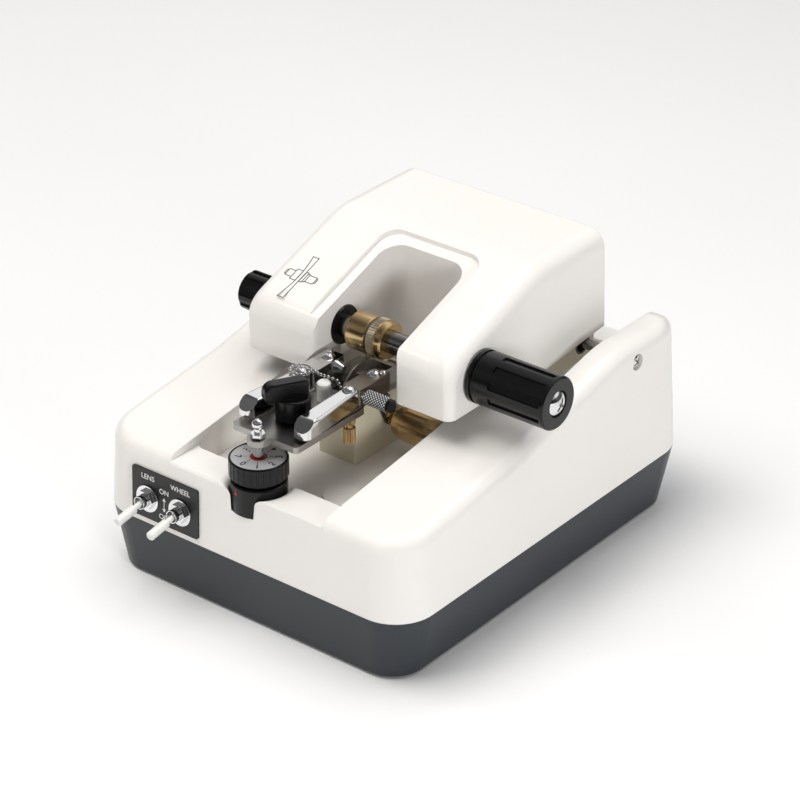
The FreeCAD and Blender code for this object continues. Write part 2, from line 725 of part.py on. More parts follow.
def make_switch_plate():
    x0 = PANEL_CENTRE_X - PANEL_WIDTH / 2
    z0 = PANEL_CENTRE_Z - PANEL_HEIGHT / 2
    corners = [(x0, z0), (x0 + PANEL_WIDTH, z0), (x0 + PANEL_WIDTH, z0 + PANEL_HEIGHT),
               (x0, z0 + PANEL_HEIGHT)]
    wire = rounded_wire([(Vector(x, -PANEL_THICK, z), PANEL_CORNER) for x, z in corners])
    plate = Part.Face(wire).extrude(Vector(0, PANEL_THICK, 0))
    for x in (LENS_SWITCH_X, WHEEL_SWITCH_X):
        plate = plate.cut(rod_y(BUSHING_RADIUS + SEAT_FIT, -10, 10, x, SWITCH_Z))
    return panel_frame(plate)


def make_switch_body(x):
    """A toggle switch: its case behind the wall and its threaded bushing through it."""
    back = WALL + SEAT_FIT
    half_width = SWITCH_BODY_WIDTH / 2
    half_height = SWITCH_BODY_HEIGHT / 2
    case = box(x - half_width, x + half_width, back, back + SWITCH_BODY_DEPTH, SWITCH_Z - half_height,
               SWITCH_Z + half_height)
    bushing_front = -PANEL_THICK - BUSHING_LENGTH
    bushing = rod_y(BUSHING_RADIUS, bushing_front, back, x, SWITCH_Z)
    throat_start = LEVER_RADIUS + LEVER_BORE_GAP
    throat_end = throat_start + BUSHING_LENGTH * math.tan(math.radians(LEVER_TILT))
    throat_end = min(throat_end, BUSHING_RADIUS - 0.4)
    pivot_y = lever_pivot_y()
    throat = Part.makeCone(throat_start, throat_end, pivot_y - bushing_front, Vector(x, pivot_y, SWITCH_Z),
                           -Y_AXIS)
    socket = Part.makeSphere(LEVER_BALL_RADIUS + LEVER_BORE_GAP, Vector(x, pivot_y, SWITCH_Z))
    return case.fuse(bushing).cut(throat).cut(socket)


def lever_pivot_y():
    return -PANEL_THICK - BUSHING_LENGTH + LEVER_BALL_RADIUS + LEVER_BORE_GAP + 0.6


def make_switch_bodies():
    bodies = [panel_frame(make_switch_body(x)) for x in (LENS_SWITCH_X, WHEEL_SWITCH_X)]
    return Part.makeCompound(bodies)


def make_switch_washers():
    washers = []
    for x in (LENS_SWITCH_X, WHEEL_SWITCH_X):
        front = -PANEL_THICK - WASHER_THICK
        ring = rod_y(WASHER_RADIUS, front, -PANEL_THICK, x, SWITCH_Z)
        washers.append(panel_frame(ring.cut(rod_y(BUSHING_RADIUS + SEAT_FIT, -10, 10, x, SWITCH_Z))))
    return Part.makeCompound(washers)


def make_switch_nuts():
    nuts = []
    for x in (LENS_SWITCH_X, WHEEL_SWITCH_X):
        back = -PANEL_THICK - WASHER_THICK
        points = []
        for i in range(6):
            angle = math.radians(60 * i)
            points.append(Vector(x + SWITCH_NUT_RADIUS * math.cos(angle), back,
                                 SWITCH_Z + SWITCH_NUT_RADIUS * math.sin(angle)))
        nut = Part.Face(Part.makePolygon(points + points[:1])).extrude(Vector(0, -SWITCH_NUT_THICK, 0))
        nuts.append(panel_frame(nut.cut(rod_y(BUSHING_RADIUS + SEAT_FIT, -10, 10, x, SWITCH_Z))))
    return Part.makeCompound(nuts)


def make_switch_lever(x):
    """The lever at its lower stop: a ball on a cross pin in the bushing, a thin stem and a fat sleeve."""
    pivot = Vector(x, lever_pivot_y(), SWITCH_Z)
    out = Vector(0, -1, 0)
    stem = Part.makeCylinder(LEVER_RADIUS, LEVER_LENGTH - 1, pivot, out)
    sleeve_length = LEVER_LENGTH - LEVER_SLEEVE_START
    sleeve = Part.makeCylinder(LEVER_SLEEVE_RADIUS, sleeve_length, pivot + out * LEVER_SLEEVE_START, out)
    tip = edges_where(sleeve, lambda middle, size: middle.y < pivot.y - LEVER_LENGTH + 0.1)
    sleeve = sleeve.makeFillet(LEVER_SLEEVE_RADIUS / 2, tip)
    pin = rod_x(LEVER_PIN_RADIUS, x - LEVER_PIN_HALF, x + LEVER_PIN_HALF, pivot.y, pivot.z)
    lever = Part.makeSphere(LEVER_BALL_RADIUS, pivot).fuse(stem).fuse(sleeve).fuse(pin)
    return panel_frame(turned_about(lever, pivot, X_AXIS, LEVER_TILT))


# Power parts inside the tray


def make_power_inlet():
    rear = BODY_LENGTH / 2 - TRAY_REAR_INSET
    half_width = INLET_WIDTH / 2
    half_height = INLET_HEIGHT / 2
    front = rear - INLET_FLANGE - INLET_DEPTH
    flange = box(INLET_X - half_width - INLET_FLANGE_OVER, INLET_X + half_width + INLET_FLANGE_OVER,
                 rear - INLET_FLANGE, rear,
                 INLET_Z - half_height - INLET_FLANGE_OVER, INLET_Z + half_height + INLET_FLANGE_OVER)
    case = box(INLET_X - half_width, INLET_X + half_width, front, rear, INLET_Z - half_height,
               INLET_Z + half_height)
    socket = box(INLET_X - half_width + SOCKET_WALL, INLET_X + half_width - SOCKET_WALL, front + SOCKET_WALL,
                 BIG,
                 INLET_Z - half_height + SOCKET_WALL, INLET_Z + half_height - SOCKET_WALL)
    inlet = flange.fuse(case).cut(socket)
    for step in (-1, 0, 1):
        x = INLET_X + step * INLET_PIN_SPACING
        z = INLET_Z + (INLET_PIN_THICK if step == 0 else -INLET_PIN_THICK)
        pin = box(x - INLET_PIN_THICK / 2, x + INLET_PIN_THICK / 2, front + SOCKET_WALL / 2,
                  rear - INLET_FLANGE,
                  z - INLET_PIN_WIDTH / 2, z + INLET_PIN_WIDTH / 2)
        inlet = inlet.fuse(pin)
    return inlet


def make_transformer():
    bottom = FOOT_STANDOFF + TRAY_FLOOR
    half_width = TRANSFORMER_WIDTH / 2
    half_depth = TRANSFORMER_DEPTH / 2
    core = box(TRANSFORMER_X - half_width, TRANSFORMER_X + half_width,
               TRANSFORMER_Y - half_depth + TRANSFORMER_COIL,
               TRANSFORMER_Y + half_depth - TRANSFORMER_COIL, bottom, bottom + TRANSFORMER_HEIGHT)
    coil = rounded_block(TRANSFORMER_X - half_width / 2, TRANSFORMER_X + half_width / 2,
                         TRANSFORMER_Y - half_depth,
                         TRANSFORMER_Y + half_depth, bottom + TRANSFORMER_COIL,
                         bottom + TRANSFORMER_HEIGHT - TRANSFORMER_COIL, TRANSFORMER_COIL / 2)
    return core.fuse(coil)


# Head


def roof_z(y):
    """The height of the sloping front roof."""
    return HEAD_TOP_Z - ROOF_SLOPE * (ROOF_BEND_Y - y)


def head_outline(inset):
    """Side view of the head, moved in by an inset at the top, front and rear."""
    drop = inset * math.sqrt(1 + ROOF_SLOPE ** 2)
    front = HEAD_FRONT_Y + inset
    rear = HEAD_REAR_Y - inset
    rear_top = HEAD_REAR_Y - HEAD_REAR_LEAN - inset
    top = HEAD_TOP_Z - inset
    bend_y = ROOF_BEND_Y + (drop - inset) / ROOF_SLOPE
    low = HEAD_BOTTOM_Z - HEAD_SIDE_DROP
    front_round = HEAD_FRONT_ROUND - inset
    bottom = [(front, HEAD_BOTTOM_Z - inset, 0)] if inset == 0 else [(front, HEAD_BOTTOM_Z - BIG, 0)]
    if inset == 0:
        under = [(rear, HEAD_BOTTOM_Z + 1.0, 0), (FRAME_FRONT_Y + 4, low, 12), (FRAME_FRONT_Y - 14,
                                                                                HEAD_BOTTOM_Z, 12)]
    else:
        under = [(rear, HEAD_BOTTOM_Z + 1.0, 0), (rear, HEAD_BOTTOM_Z - BIG, 0)]
    return bottom + [(front, roof_z(HEAD_FRONT_Y) - drop, front_round), (bend_y, top, ROOF_BEND_RADIUS),
                     (rear_top, top, 0)] + under


def opening_slab(grow, z0, z1):
    """The way through the head between the two arms, grown sideways and to the rear."""
    left = ARM_LEFT_X - grow
    right = ARM_RIGHT_X + grow
    front = HEAD_FRONT_Y - BIG
    corner = OPENING_CORNER + grow
    return plan_slab([(left, front, 0), (right, front, 0), (right, OPENING_REAR_Y + grow, corner),
                      (left, OPENING_REAR_Y + grow, corner)], z0, z1)


def border_cut():
    """A shallow step in the roof round the opening, parallel to the slope."""
    front = HEAD_FRONT_Y - 20
    rear = OPENING_REAR_Y + BORDER_REAR
    plan = plan_slab([(ARM_LEFT_X - BORDER, front, 0), (ARM_RIGHT_X + BORDER, front, 0),
                      (ARM_RIGHT_X + BORDER, rear, BORDER_CORNER), (ARM_LEFT_X - BORDER, rear,
                                                                    BORDER_CORNER)], 0, BIG)
    floor_front = roof_z(front) - BORDER_DEPTH
    floor_rear = roof_z(rear + 20) - BORDER_DEPTH
    above = side_slab([(front, floor_front, 0), (front, BIG, 0), (rear + 20, BIG, 0), (rear + 20, floor_rear,
                                                                                       0)], -BIG, BIG)
    return plan.common(above)


def arm_ease(grow):
    """The space cut from under the left arm for the lens guide, grown by a wall."""
    top = EASE_TOP_Z + grow
    low = HEAD_BOTTOM_Z - HEAD_SIDE_DROP - 1
    corner_x = EASE_X - grow / 2
    right = ARM_LEFT_X + HEAD_WALL + grow
    points = [(right, top), (corner_x, top), (corner_x - grow - (top - low) / EASE_SLOPE, low), (right, low)]
    if grow > 0:
        points[2] = (corner_x - grow / 2 - (top - low) / EASE_SLOPE, low)
    corners = [Vector(x, -BIG, z) for x, z in points]
    prism = Part.Face(Part.makePolygon(corners + corners[:1])).extrude(Vector(0, BIG, 0))
    return prism


def head_rim(middle, size):
    """The long side edges of the roof and front, without the rear."""
    on_side = abs(abs(middle.x) - HEAD_HALF_WIDTH) < 0.1
    return on_side and middle.z > HEAD_BOTTOM_Z + 1.5 and middle.y < HEAD_REAR_Y - HEAD_REAR_LEAN - 1


def head_back(middle, size):
    """The edges round the rear face, except the lowest."""
    return middle.y > HEAD_REAR_Y - HEAD_REAR_LEAN - 0.5 and middle.z > HEAD_BOTTOM_Z + 2


def growing_fillet(shape, condition, corner, edge):
    """Rounds chosen edges: upright ones with the corner radius, long ones with the edge radius,
    and the front arcs with a radius that grows from one to the other."""
    chosen = []
    for number, shape_edge in enumerate(shape.Edges, 1):
        middle = shape_edge.CenterOfMass
        if not condition(middle, shape_edge.BoundBox):
            continue
        is_arc = isinstance(shape_edge.Curve, Part.Circle) and middle.y < HEAD_FRONT_Y + HEAD_FRONT_ROUND
        if shape_edge.BoundBox.YLength < 0.5:
            chosen.append((number, corner, corner))
        elif is_arc:
            chosen.append((number, corner, edge))
        else:
            chosen.append((number, edge, edge))
    document = FreeCAD.newDocument("rounding")
    source = document.addObject("Part::Feature", "source")
    source.Shape = shape
    rounded = document.addObject("Part::Fillet", "rounded")
    rounded.Base = source
    rounded.Edges = chosen
    document.recompute()
    result = rounded.Shape.copy()
    FreeCAD.closeDocument(document.Name)
    return result


def arm_edge_cuts():
    """What rounds the upright front edges of the two arms beside the lens."""
    cuts = []
    size = ARM_EDGE_ROUND
    for face_x, into_arm in ((ARM_LEFT_X, -1), (ARM_RIGHT_X, 1)):
        x0, x1 = sorted((face_x - into_arm, face_x + into_arm * size))
        square = box(x0, x1, HEAD_FRONT_Y - 1, HEAD_FRONT_Y + size, 0, BIG)
        inner = rod_z(size, 0, BIG, face_x + into_arm * size, HEAD_FRONT_Y + size)
        cuts.append(square.cut(inner).cut(box(x0, x1, HEAD_FRONT_Y + size, BIG, 0, BIG)))
    return cuts


def make_head_cover():
    block = side_slab(head_outline(0), -HEAD_HALF_WIDTH, HEAD_HALF_WIDTH)
    block = growing_fillet(block, head_rim, HEAD_CORNER_ROUND, HEAD_EDGE_ROUND)
    block = block.makeFillet(HEAD_REAR_ROUND, edges_where(block, head_back))
    block = block.cut(border_cut())
    block = block.cut(opening_slab(0, 0, BIG))
    hollow = side_slab(head_outline(HEAD_WALL), -HEAD_HALF_WIDTH + HEAD_WALL, HEAD_HALF_WIDTH - HEAD_WALL)
    rim = edges_where(hollow, lambda middle, size: abs(abs(middle.x) - HEAD_HALF_WIDTH + HEAD_WALL) < 0.1
                      and middle.z > HEAD_BOTTOM_Z + 1.5 and middle.y < HEAD_REAR_Y - HEAD_REAR_LEAN - HEAD_WALL - 1)
    hollow = hollow.makeFillet(HEAD_EDGE_ROUND - HEAD_WALL, rim)
    hollow = hollow.cut(opening_slab(HEAD_WALL, 0, BIG))
    under_border = border_cut()
    under_border.translate(Vector(0, 0, -HEAD_WALL))
    hollow = hollow.cut(under_border).cut(arm_ease(HEAD_WALL))
    cover = block.cut(arm_ease(0)).cut(hollow)
    cover = cover.cut(rod_x(BUSH_RADIUS + SEAT_FIT, -HEAD_HALF_WIDTH - 1, HEAD_HALF_WIDTH + 1, SHAFT_Y,
                            SHAFT_Z))
    for cut in arm_edge_cuts():
        cover = cover.cut(cut)
    return cover.removeSplitter()


def make_head_frame():
    """Two cheeks that hang on the hinge, joined by a back plate."""
    outer = HEAD_HALF_WIDTH - HEAD_WALL
    cheek_outline = [(FRAME_FRONT_Y, FRAME_NOSE_Z, 2), (FRAME_FRONT_Y, FRAME_TOP_Z, 2), (FRAME_REAR_Y,
                                                                                         FRAME_TOP_Z, 2),
                     (FRAME_REAR_Y, FRAME_BOTTOM_Z, 6), (HINGE_Y - 14, FRAME_BOTTOM_Z, 4)]
    cheek = side_slab(cheek_outline, outer - FRAME_THICK, outer)
    back = box(-outer, outer, FRAME_REAR_Y - FRAME_THICK, FRAME_REAR_Y, FRAME_BACK_BOTTOM_Z, FRAME_TOP_Z - 2)
    frame = cheek.fuse(mirrored(cheek)).fuse(back)
    return frame.cut(rod_x(HINGE_BUSH_RADIUS, -BIG, BIG, HINGE_Y, HINGE_Z)).removeSplitter()


def make_hinge_bushes():
    outer = HEAD_HALF_WIDTH - HEAD_WALL + HINGE_BUSH_PROUD
    bush = rod_x(HINGE_BUSH_RADIUS, outer - 2 * FRAME_THICK, outer, HINGE_Y, HINGE_Z)
    bush = bush.cut(rod_x(HINGE_BUSH_RADIUS - HINGE_BUSH_RIM, outer - HINGE_BUSH_DISH, BIG, HINGE_Y, HINGE_Z))
    bush = bush.cut(rod_x(HINGE_RADIUS + RUN_FIT, 0, BIG, HINGE_Y, HINGE_Z))
    return Part.makeCompound([bush, mirrored(bush)])


def make_hinge_shaft():
    shaft = rod_x(HINGE_RADIUS, -HINGE_SHAFT_END, HINGE_SHAFT_END, HINGE_Y, HINGE_Z)
    bore = rod_x(HINGE_SCREW_RADIUS + RUN_FIT, HINGE_SHAFT_END - HINGE_SCREW_DEPTH - 1, BIG, HINGE_Y, HINGE_Z)
    return shaft.cut(bore).cut(mirrored(bore))


def make_hinge_screws():
    wall_x = BODY_WIDTH / 2 - DRAFT * (HINGE_Z - SEAM_Z)
    start = wall_x - HINGE_SCREW_HEAD
    head = rod_x(HINGE_SCREW_HEAD_RADIUS, start, start + 0.8, HINGE_Y, HINGE_Z)
    cap = dome(HINGE_SCREW_HEAD_RADIUS, HINGE_SCREW_HEAD - 1.0, Vector(start + 0.8, HINGE_Y, HINGE_Z), X_AXIS)
    shank = rod_x(HINGE_SCREW_RADIUS, HINGE_SHAFT_END - HINGE_SCREW_DEPTH, start + 0.4, HINGE_Y, HINGE_Z)
    slot = cross_slot(Vector(start + HINGE_SCREW_HEAD - 0.2, HINGE_Y, HINGE_Z), X_AXIS, Vector(0, 0.8, 0.6),
                      HINGE_SCREW_HEAD_RADIUS * 1.2, 0.9, 1.4)
    screw = head.fuse(cap).fuse(shank).cut(slot)
    return Part.makeCompound([screw, mirrored(screw)])


def make_left_flange():
    inner_face = ARM_LEFT_X
    points = [(inner_face - BUSH_LENGTH, BUSH_RADIUS), (inner_face, BUSH_RADIUS), (inner_face, FLANGE_RADIUS),
              (inner_face + FLANGE_THICK, FLANGE_RADIUS - 0.5), (inner_face + FLANGE_THICK,
                                                                 SHAFT_RADIUS + RUN_FIT),
              (inner_face - BUSH_LENGTH, SHAFT_RADIUS + RUN_FIT)]
    return turned_x(points, SHAFT_Y, SHAFT_Z)


def make_right_flange():
    inner_face = ARM_RIGHT_X
    points = [(inner_face + BUSH_LENGTH / 2, BUSH_RADIUS), (inner_face, BUSH_RADIUS),
              (inner_face, FLANGE_RADIUS),
              (inner_face - FLANGE_THICK, FLANGE_RADIUS - 0.5), (inner_face - FLANGE_THICK,
                                                                 SHAFT_RADIUS + RUN_FIT),
              (inner_face + BUSH_LENGTH / 2, SHAFT_RADIUS + RUN_FIT)]
    return turned_x(points, SHAFT_Y, SHAFT_Z)


def make_shaft_bushes():
    face = HEAD_HALF_WIDTH
    points = [(face - BUSH_LENGTH, BUSH_RADIUS), (face + BUSH_PROUD, BUSH_RADIUS), (face + BUSH_PROUD,
                                                                                    SHAFT_RADIUS + RUN_FIT),
              (face - BUSH_LENGTH, SHAFT_RADIUS + RUN_FIT)]
    bush = turned_x(points, SHAFT_Y, SHAFT_Z)
    return Part.makeCompound([bush, mirrored(bush)])


# Lens shaft


def toothed_wheel(x0, x1, y, z, first_tooth):
    """A spur gear about a line along X, with straight-sided teeth."""
    pitch_radius = GEAR_MODULE * GEAR_TEETH / 2
    root = pitch_radius - GEAR_DEDENDUM * GEAR_MODULE
    tip = pitch_radius + GEAR_ADDENDUM * GEAR_MODULE
    pitch_angle = 2 * math.pi / GEAR_TEETH
    points = []
    for i in range(GEAR_TEETH):
        middle = first_tooth + i * pitch_angle
        foot = pitch_angle * TOOTH_FILL * TOOTH_FOOT
        crest = pitch_angle * TOOTH_FILL * TOOTH_CREST
        for radius, offset in ((root, -foot), (tip, -crest), (tip, crest), (root, foot)):
            angle = middle + offset
            points.append(Vector(x0, y + radius * math.cos(angle), z + radius * math.sin(angle)))
    return Part.Face(Part.makePolygon(points + points[:1])).extrude(Vector(x1 - x0, 0, 0))


def make_lens_gear():
    gear = toothed_wheel(GEAR_X, GEAR_X + GEAR_WIDTH, SHAFT_Y, SHAFT_Z, 0)
    return gear.cut(rod_x(SHAFT_RADIUS, GEAR_X - 1, GEAR_X + GEAR_WIDTH + 1, SHAFT_Y, SHAFT_Z))


def pinion_y():
    return SHAFT_Y + GEAR_MODULE * GEAR_TEETH


def make_lens_pinion():
    half_tooth = math.pi / GEAR_TEETH
    pinion = toothed_wheel(GEAR_X, GEAR_X + GEAR_WIDTH, pinion_y(), SHAFT_Z, half_tooth)
    stem = rod_x(MOTOR_SHAFT_RADIUS, GEAR_X - 5, GEAR_X + GEAR_WIDTH, pinion_y(), SHAFT_Z)
    return pinion.fuse(stem)


def make_lens_motor():
    end = GEAR_X - MOVE_GAP
    centre = Vector(end - LENS_MOTOR_LENGTH, pinion_y(), SHAFT_Z)
    can = Part.makeCylinder(LENS_MOTOR_RADIUS, LENS_MOTOR_LENGTH - 2, centre, X_AXIS)
    nose = rod_x(MOTOR_SHAFT_RADIUS + 2, end - 3, end, pinion_y(), SHAFT_Z)
    return can.fuse(nose).cut(rod_x(MOTOR_SHAFT_RADIUS + RUN_FIT, end - 6, end + 1, pinion_y(), SHAFT_Z))


def make_left_shaft():
    end = -HEAD_HALF_WIDTH - KNOB_GAP - LEFT_KNOB_LENGTH + 2
    return rod_x(SHAFT_RADIUS, end, CHUCK_LEFT_X + 3, SHAFT_Y, SHAFT_Z)


def make_left_chuck():
    end = CONTACT_X - PAD_THICK
    points = [(CHUCK_LEFT_X, SHAFT_RADIUS), (CHUCK_LEFT_X, CHUCK_RADIUS - 0.6), (CHUCK_LEFT_X + 0.6,
                                                                                 CHUCK_RADIUS),
              (end - 0.4, CHUCK_RADIUS), (end, CHUCK_RADIUS - 0.4), (end, 0.0), (CHUCK_LEFT_X + 3, 0.0),
              (CHUCK_LEFT_X + 3, SHAFT_RADIUS)]
    return turned_x(points, SHAFT_Y, SHAFT_Z)


def make_right_chuck():
    start = CONTACT_X + PAD_GAP + PAD_THICK
    step = start + KNURL_WIDTH
    end = CHUCK_RIGHT_X
    points = [(start, 0.0), (start, KNURL_RADIUS - 0.7), (step, KNURL_RADIUS - 0.7),
              (step, CHUCK_RADIUS - 0.4),
              (step + 0.4, CHUCK_RADIUS), (end - 0.8, CHUCK_RADIUS), (end, CHUCK_RADIUS - 0.8),
              (end, SHAFT_RADIUS), (end - 3, SHAFT_RADIUS), (end - 3, 0.0)]
    body = turned_x(points, SHAFT_Y, SHAFT_Z)
    tooth_points = []
    for i in range(KNURL_TEETH):
        for share, radius in ((0.0, KNURL_RADIUS - 0.35), (0.5, KNURL_RADIUS)):
            angle = 2 * math.pi * (i + share) / KNURL_TEETH
            tooth_points.append(Vector(start + 0.4, SHAFT_Y + radius * math.cos(angle),
                                       SHAFT_Z + radius * math.sin(angle)))
    knurl = Part.Face(Part.makePolygon(tooth_points + tooth_points[:1])).extrude(Vector(KNURL_WIDTH - 0.8, 0,
                                                                                        0))
    return body.fuse(knurl)


def make_pad(x0, x1):
    return rod_x(PAD_RADIUS, x0, x1, SHAFT_Y, SHAFT_Z)


def make_right_shaft():
    end = CLAMP_KNOB_END_X - KNOB_STOP
    shaft = rod_x(SHAFT_RADIUS, CHUCK_RIGHT_X - 3, end, SHAFT_Y, SHAFT_Z)
    bore = rod_x(KNOB_SCREW_SHANK + RUN_FIT, end - KNOB_SCREW_DEPTH - 1, BIG, SHAFT_Y, SHAFT_Z)
    groove = rod_x(SHAFT_RADIUS + 1, SLEEVE_X - RUN_FIT, SLEEVE_X + SLEEVE_LENGTH + RUN_FIT, SHAFT_Y, SHAFT_Z)
    groove = groove.cut(rod_x(SHAFT_RADIUS - 1, 0, BIG, SHAFT_Y, SHAFT_Z))
    return shaft.cut(bore).cut(groove)


def make_clamp_sleeve():
    sleeve = rod_x(SLEEVE_RADIUS, SLEEVE_X, SLEEVE_X + SLEEVE_LENGTH, SHAFT_Y, SHAFT_Z)
    return sleeve.cut(rod_x(SHAFT_RADIUS - 1 + RUN_FIT, 0, BIG, SHAFT_Y, SHAFT_Z))


def flute_cuts(x0, x1, radius, count):
    """Long shallow grooves round a knob on the lens shaft."""
    cuts = []
    for i in range(count):
        cut = box(x0, x1, SHAFT_Y - KNOB_FLUTE_WIDTH / 2, SHAFT_Y + KNOB_FLUTE_WIDTH / 2,
                  SHAFT_Z + radius - KNOB_FLUTE_DEPTH, SHAFT_Z + radius + 1)
        cuts.append(turned_about(cut, Vector(0, SHAFT_Y, SHAFT_Z), X_AXIS, 360.0 * i / count))
    return cuts


def make_clamp_knob():
    start = HEAD_HALF_WIDTH + KNOB_GAP
    neck = start + KNOB_COLLAR
    body = neck + KNOB_NECK
    end = CLAMP_KNOB_END_X
    shaft_end = end - KNOB_STOP
    points = [(start, SHAFT_RADIUS), (start, KNOB_RADIUS - 0.8), (start + 0.8, KNOB_RADIUS),
              (neck, KNOB_RADIUS),
              (neck, KNOB_NECK_RADIUS), (body, KNOB_NECK_RADIUS), (body, KNOB_RADIUS), (end - KNOB_END_ROUND,
                                                                                        KNOB_RADIUS),
              (end, KNOB_RADIUS - KNOB_END_ROUND), (end, KNOB_SCREW_RADIUS + SEAT_FIT),
              (end - KNOB_SCREW_SEAT, KNOB_SCREW_RADIUS + SEAT_FIT), (end - KNOB_SCREW_SEAT,
                                                                      KNOB_SCREW_SHANK + SEAT_FIT),
              (shaft_end, KNOB_SCREW_SHANK + SEAT_FIT), (shaft_end, SHAFT_RADIUS)]
    knob = turned_x(points, SHAFT_Y, SHAFT_Z)
    for cut in flute_cuts(body + KNOB_FLUTE_MARGIN, end - 2, KNOB_RADIUS, KNOB_FLUTES):
        knob = knob.cut(cut)
    return knob


def make_knob_screw():
    base = CLAMP_KNOB_END_X - KNOB_SCREW_SEAT
    head = dome(KNOB_SCREW_RADIUS, KNOB_SCREW_HEIGHT, Vector(base, SHAFT_Y, SHAFT_Z), X_AXIS)
    shank_start = CLAMP_KNOB_END_X - KNOB_STOP - KNOB_SCREW_DEPTH
    shank = rod_x(KNOB_SCREW_SHANK, shank_start, base + 0.5, SHAFT_Y, SHAFT_Z)
    slot = cross_slot(Vector(base + KNOB_SCREW_HEIGHT, SHAFT_Y, SHAFT_Z), X_AXIS, Vector(0, 0.6, 0.8),
                      KNOB_SCREW_RADIUS, 1.1, 1.6)
    return head.fuse(shank).cut(slot)


def make_left_knob():
    end = -HEAD_HALF_WIDTH - KNOB_GAP
    start = end - LEFT_KNOB_LENGTH
    points = [(start, 0.0), (start, LEFT_KNOB_RADIUS - KNOB_END_ROUND), (start + KNOB_END_ROUND,
                                                                         LEFT_KNOB_RADIUS),
              (end - 0.8, LEFT_KNOB_RADIUS), (end, LEFT_KNOB_RADIUS - 0.8), (end, SHAFT_RADIUS),
              (start + 2, SHAFT_RADIUS),
              (start + 2, 0.0)]
    knob = turned_x(points, SHAFT_Y, SHAFT_Z)
    for cut in flute_cuts(start - 1, end - 2.5, LEFT_KNOB_RADIUS, KNOB_FLUTES):
        knob = knob.cut(cut)
    return knob


# Grooving wheel


def make_wheel_housing():
    well_half = WHEEL_HUB_THICK + WHEEL_THICK / 2 + WELL_GAP
    body = rounded_block(WHEEL_BOX_LEFT_X, WHEEL_BOX_RIGHT_X, WHEEL_BOX_FRONT_Y, WHEEL_BOX_REAR_Y,
                         TUB_FLOOR_Z,
                         WHEEL_BOX_TOP_Z, 1.5)
    ear_rear = WHEEL_BOX_REAR_Y
    ear_front = STAGE_PIVOT_Y - (ear_rear - STAGE_PIVOT_Y)
    pivot_z = STAGE_BOTTOM_Z + STAGE_THICK / 2
    ear_top = pivot_z + STAGE_BARREL_RADIUS + 0.6
    for x0, x1 in ((WHEEL_BOX_LEFT_X, WHEEL_BOX_LEFT_X + EAR_THICK), (WHEEL_BOX_RIGHT_X - EAR_THICK,
                                                                      WHEEL_BOX_RIGHT_X)):
        body = body.fuse(box(x0, x1, ear_front, ear_rear, WHEEL_BOX_TOP_Z - 1, ear_top))
    clear = STAGE_BARREL_RADIUS + MOVE_GAP
    body = body.cut(rod_x(clear, WHEEL_BOX_LEFT_X + EAR_THICK, WHEEL_BOX_RIGHT_X - EAR_THICK, STAGE_PIVOT_Y,
                          pivot_z))
    body = body.cut(rod_x(STAGE_PIVOT_RADIUS, -BIG, BIG, STAGE_PIVOT_Y, pivot_z))
    well = rod_x(WHEEL_RADIUS + WELL_GAP, -well_half, well_half, WHEEL_Y, WHEEL_Z)
    well_top = box(-well_half, well_half, WHEEL_Y - WHEEL_RADIUS - WELL_GAP,
                   WHEEL_Y + WHEEL_RADIUS + WELL_GAP,
                   WHEEL_Z, WHEEL_BOX_TOP_Z + 1)
    body = body.cut(well).cut(well_top)
    body = body.cut(rod_x(BEARING_RADIUS, WHEEL_BOX_LEFT_X + WALL, BIG, WHEEL_Y, WHEEL_Z))
    return body.removeSplitter()


def make_wheel_bearings():
    well_half = WHEEL_HUB_THICK + WHEEL_THICK / 2 + WELL_GAP
    bearings = []
    for x0, x1 in ((WHEEL_BOX_LEFT_X + WALL, -well_half), (well_half, WHEEL_BOX_RIGHT_X)):
        ring = rod_x(BEARING_RADIUS, x0, x1, WHEEL_Y, WHEEL_Z)
        bearings.append(ring.cut(rod_x(SPINDLE_RADIUS + RUN_FIT, -BIG, BIG, WHEEL_Y, WHEEL_Z)))
    return Part.makeCompound(bearings)


def pulley(x, y, z):
    """A small flanged pulley about a line along X."""
    half = PULLEY_WIDTH / 2
    points = [(x - half, 0.0), (x - half, PULLEY_RADIUS + 0.6), (x - half + 0.5, PULLEY_RADIUS + 0.6),
              (x - half + 0.5, PULLEY_RADIUS), (x + half - 0.5, PULLEY_RADIUS), (x + half - 0.5,
                                                                                 PULLEY_RADIUS + 0.6),
              (x + half, PULLEY_RADIUS + 0.6), (x + half, 0.0)]
    return turned_x(points, y, z)


def make_wheel_spindle():
    start = WHEEL_BOX_LEFT_X + WALL + 0.5
    spindle = rod_x(SPINDLE_RADIUS, start, PULLEY_X, WHEEL_Y, WHEEL_Z)
    return spindle.fuse(pulley(PULLEY_X, WHEEL_Y, WHEEL_Z))


def make_grooving_wheel():
    rim = WHEEL_THICK / 2
    hub = rim + WHEEL_HUB_THICK
    points = [(-hub, SPINDLE_RADIUS), (-hub, WHEEL_HUB_RADIUS - 1), (-hub + 1, WHEEL_HUB_RADIUS),
              (-rim, WHEEL_HUB_RADIUS),
              (-rim, WHEEL_RADIUS), (rim, WHEEL_RADIUS), (rim, WHEEL_HUB_RADIUS), (hub - 1, WHEEL_HUB_RADIUS),
              (hub, WHEEL_HUB_RADIUS - 1), (hub, SPINDLE_RADIUS)]
    return turned_x(points, WHEEL_Y, WHEEL_Z)


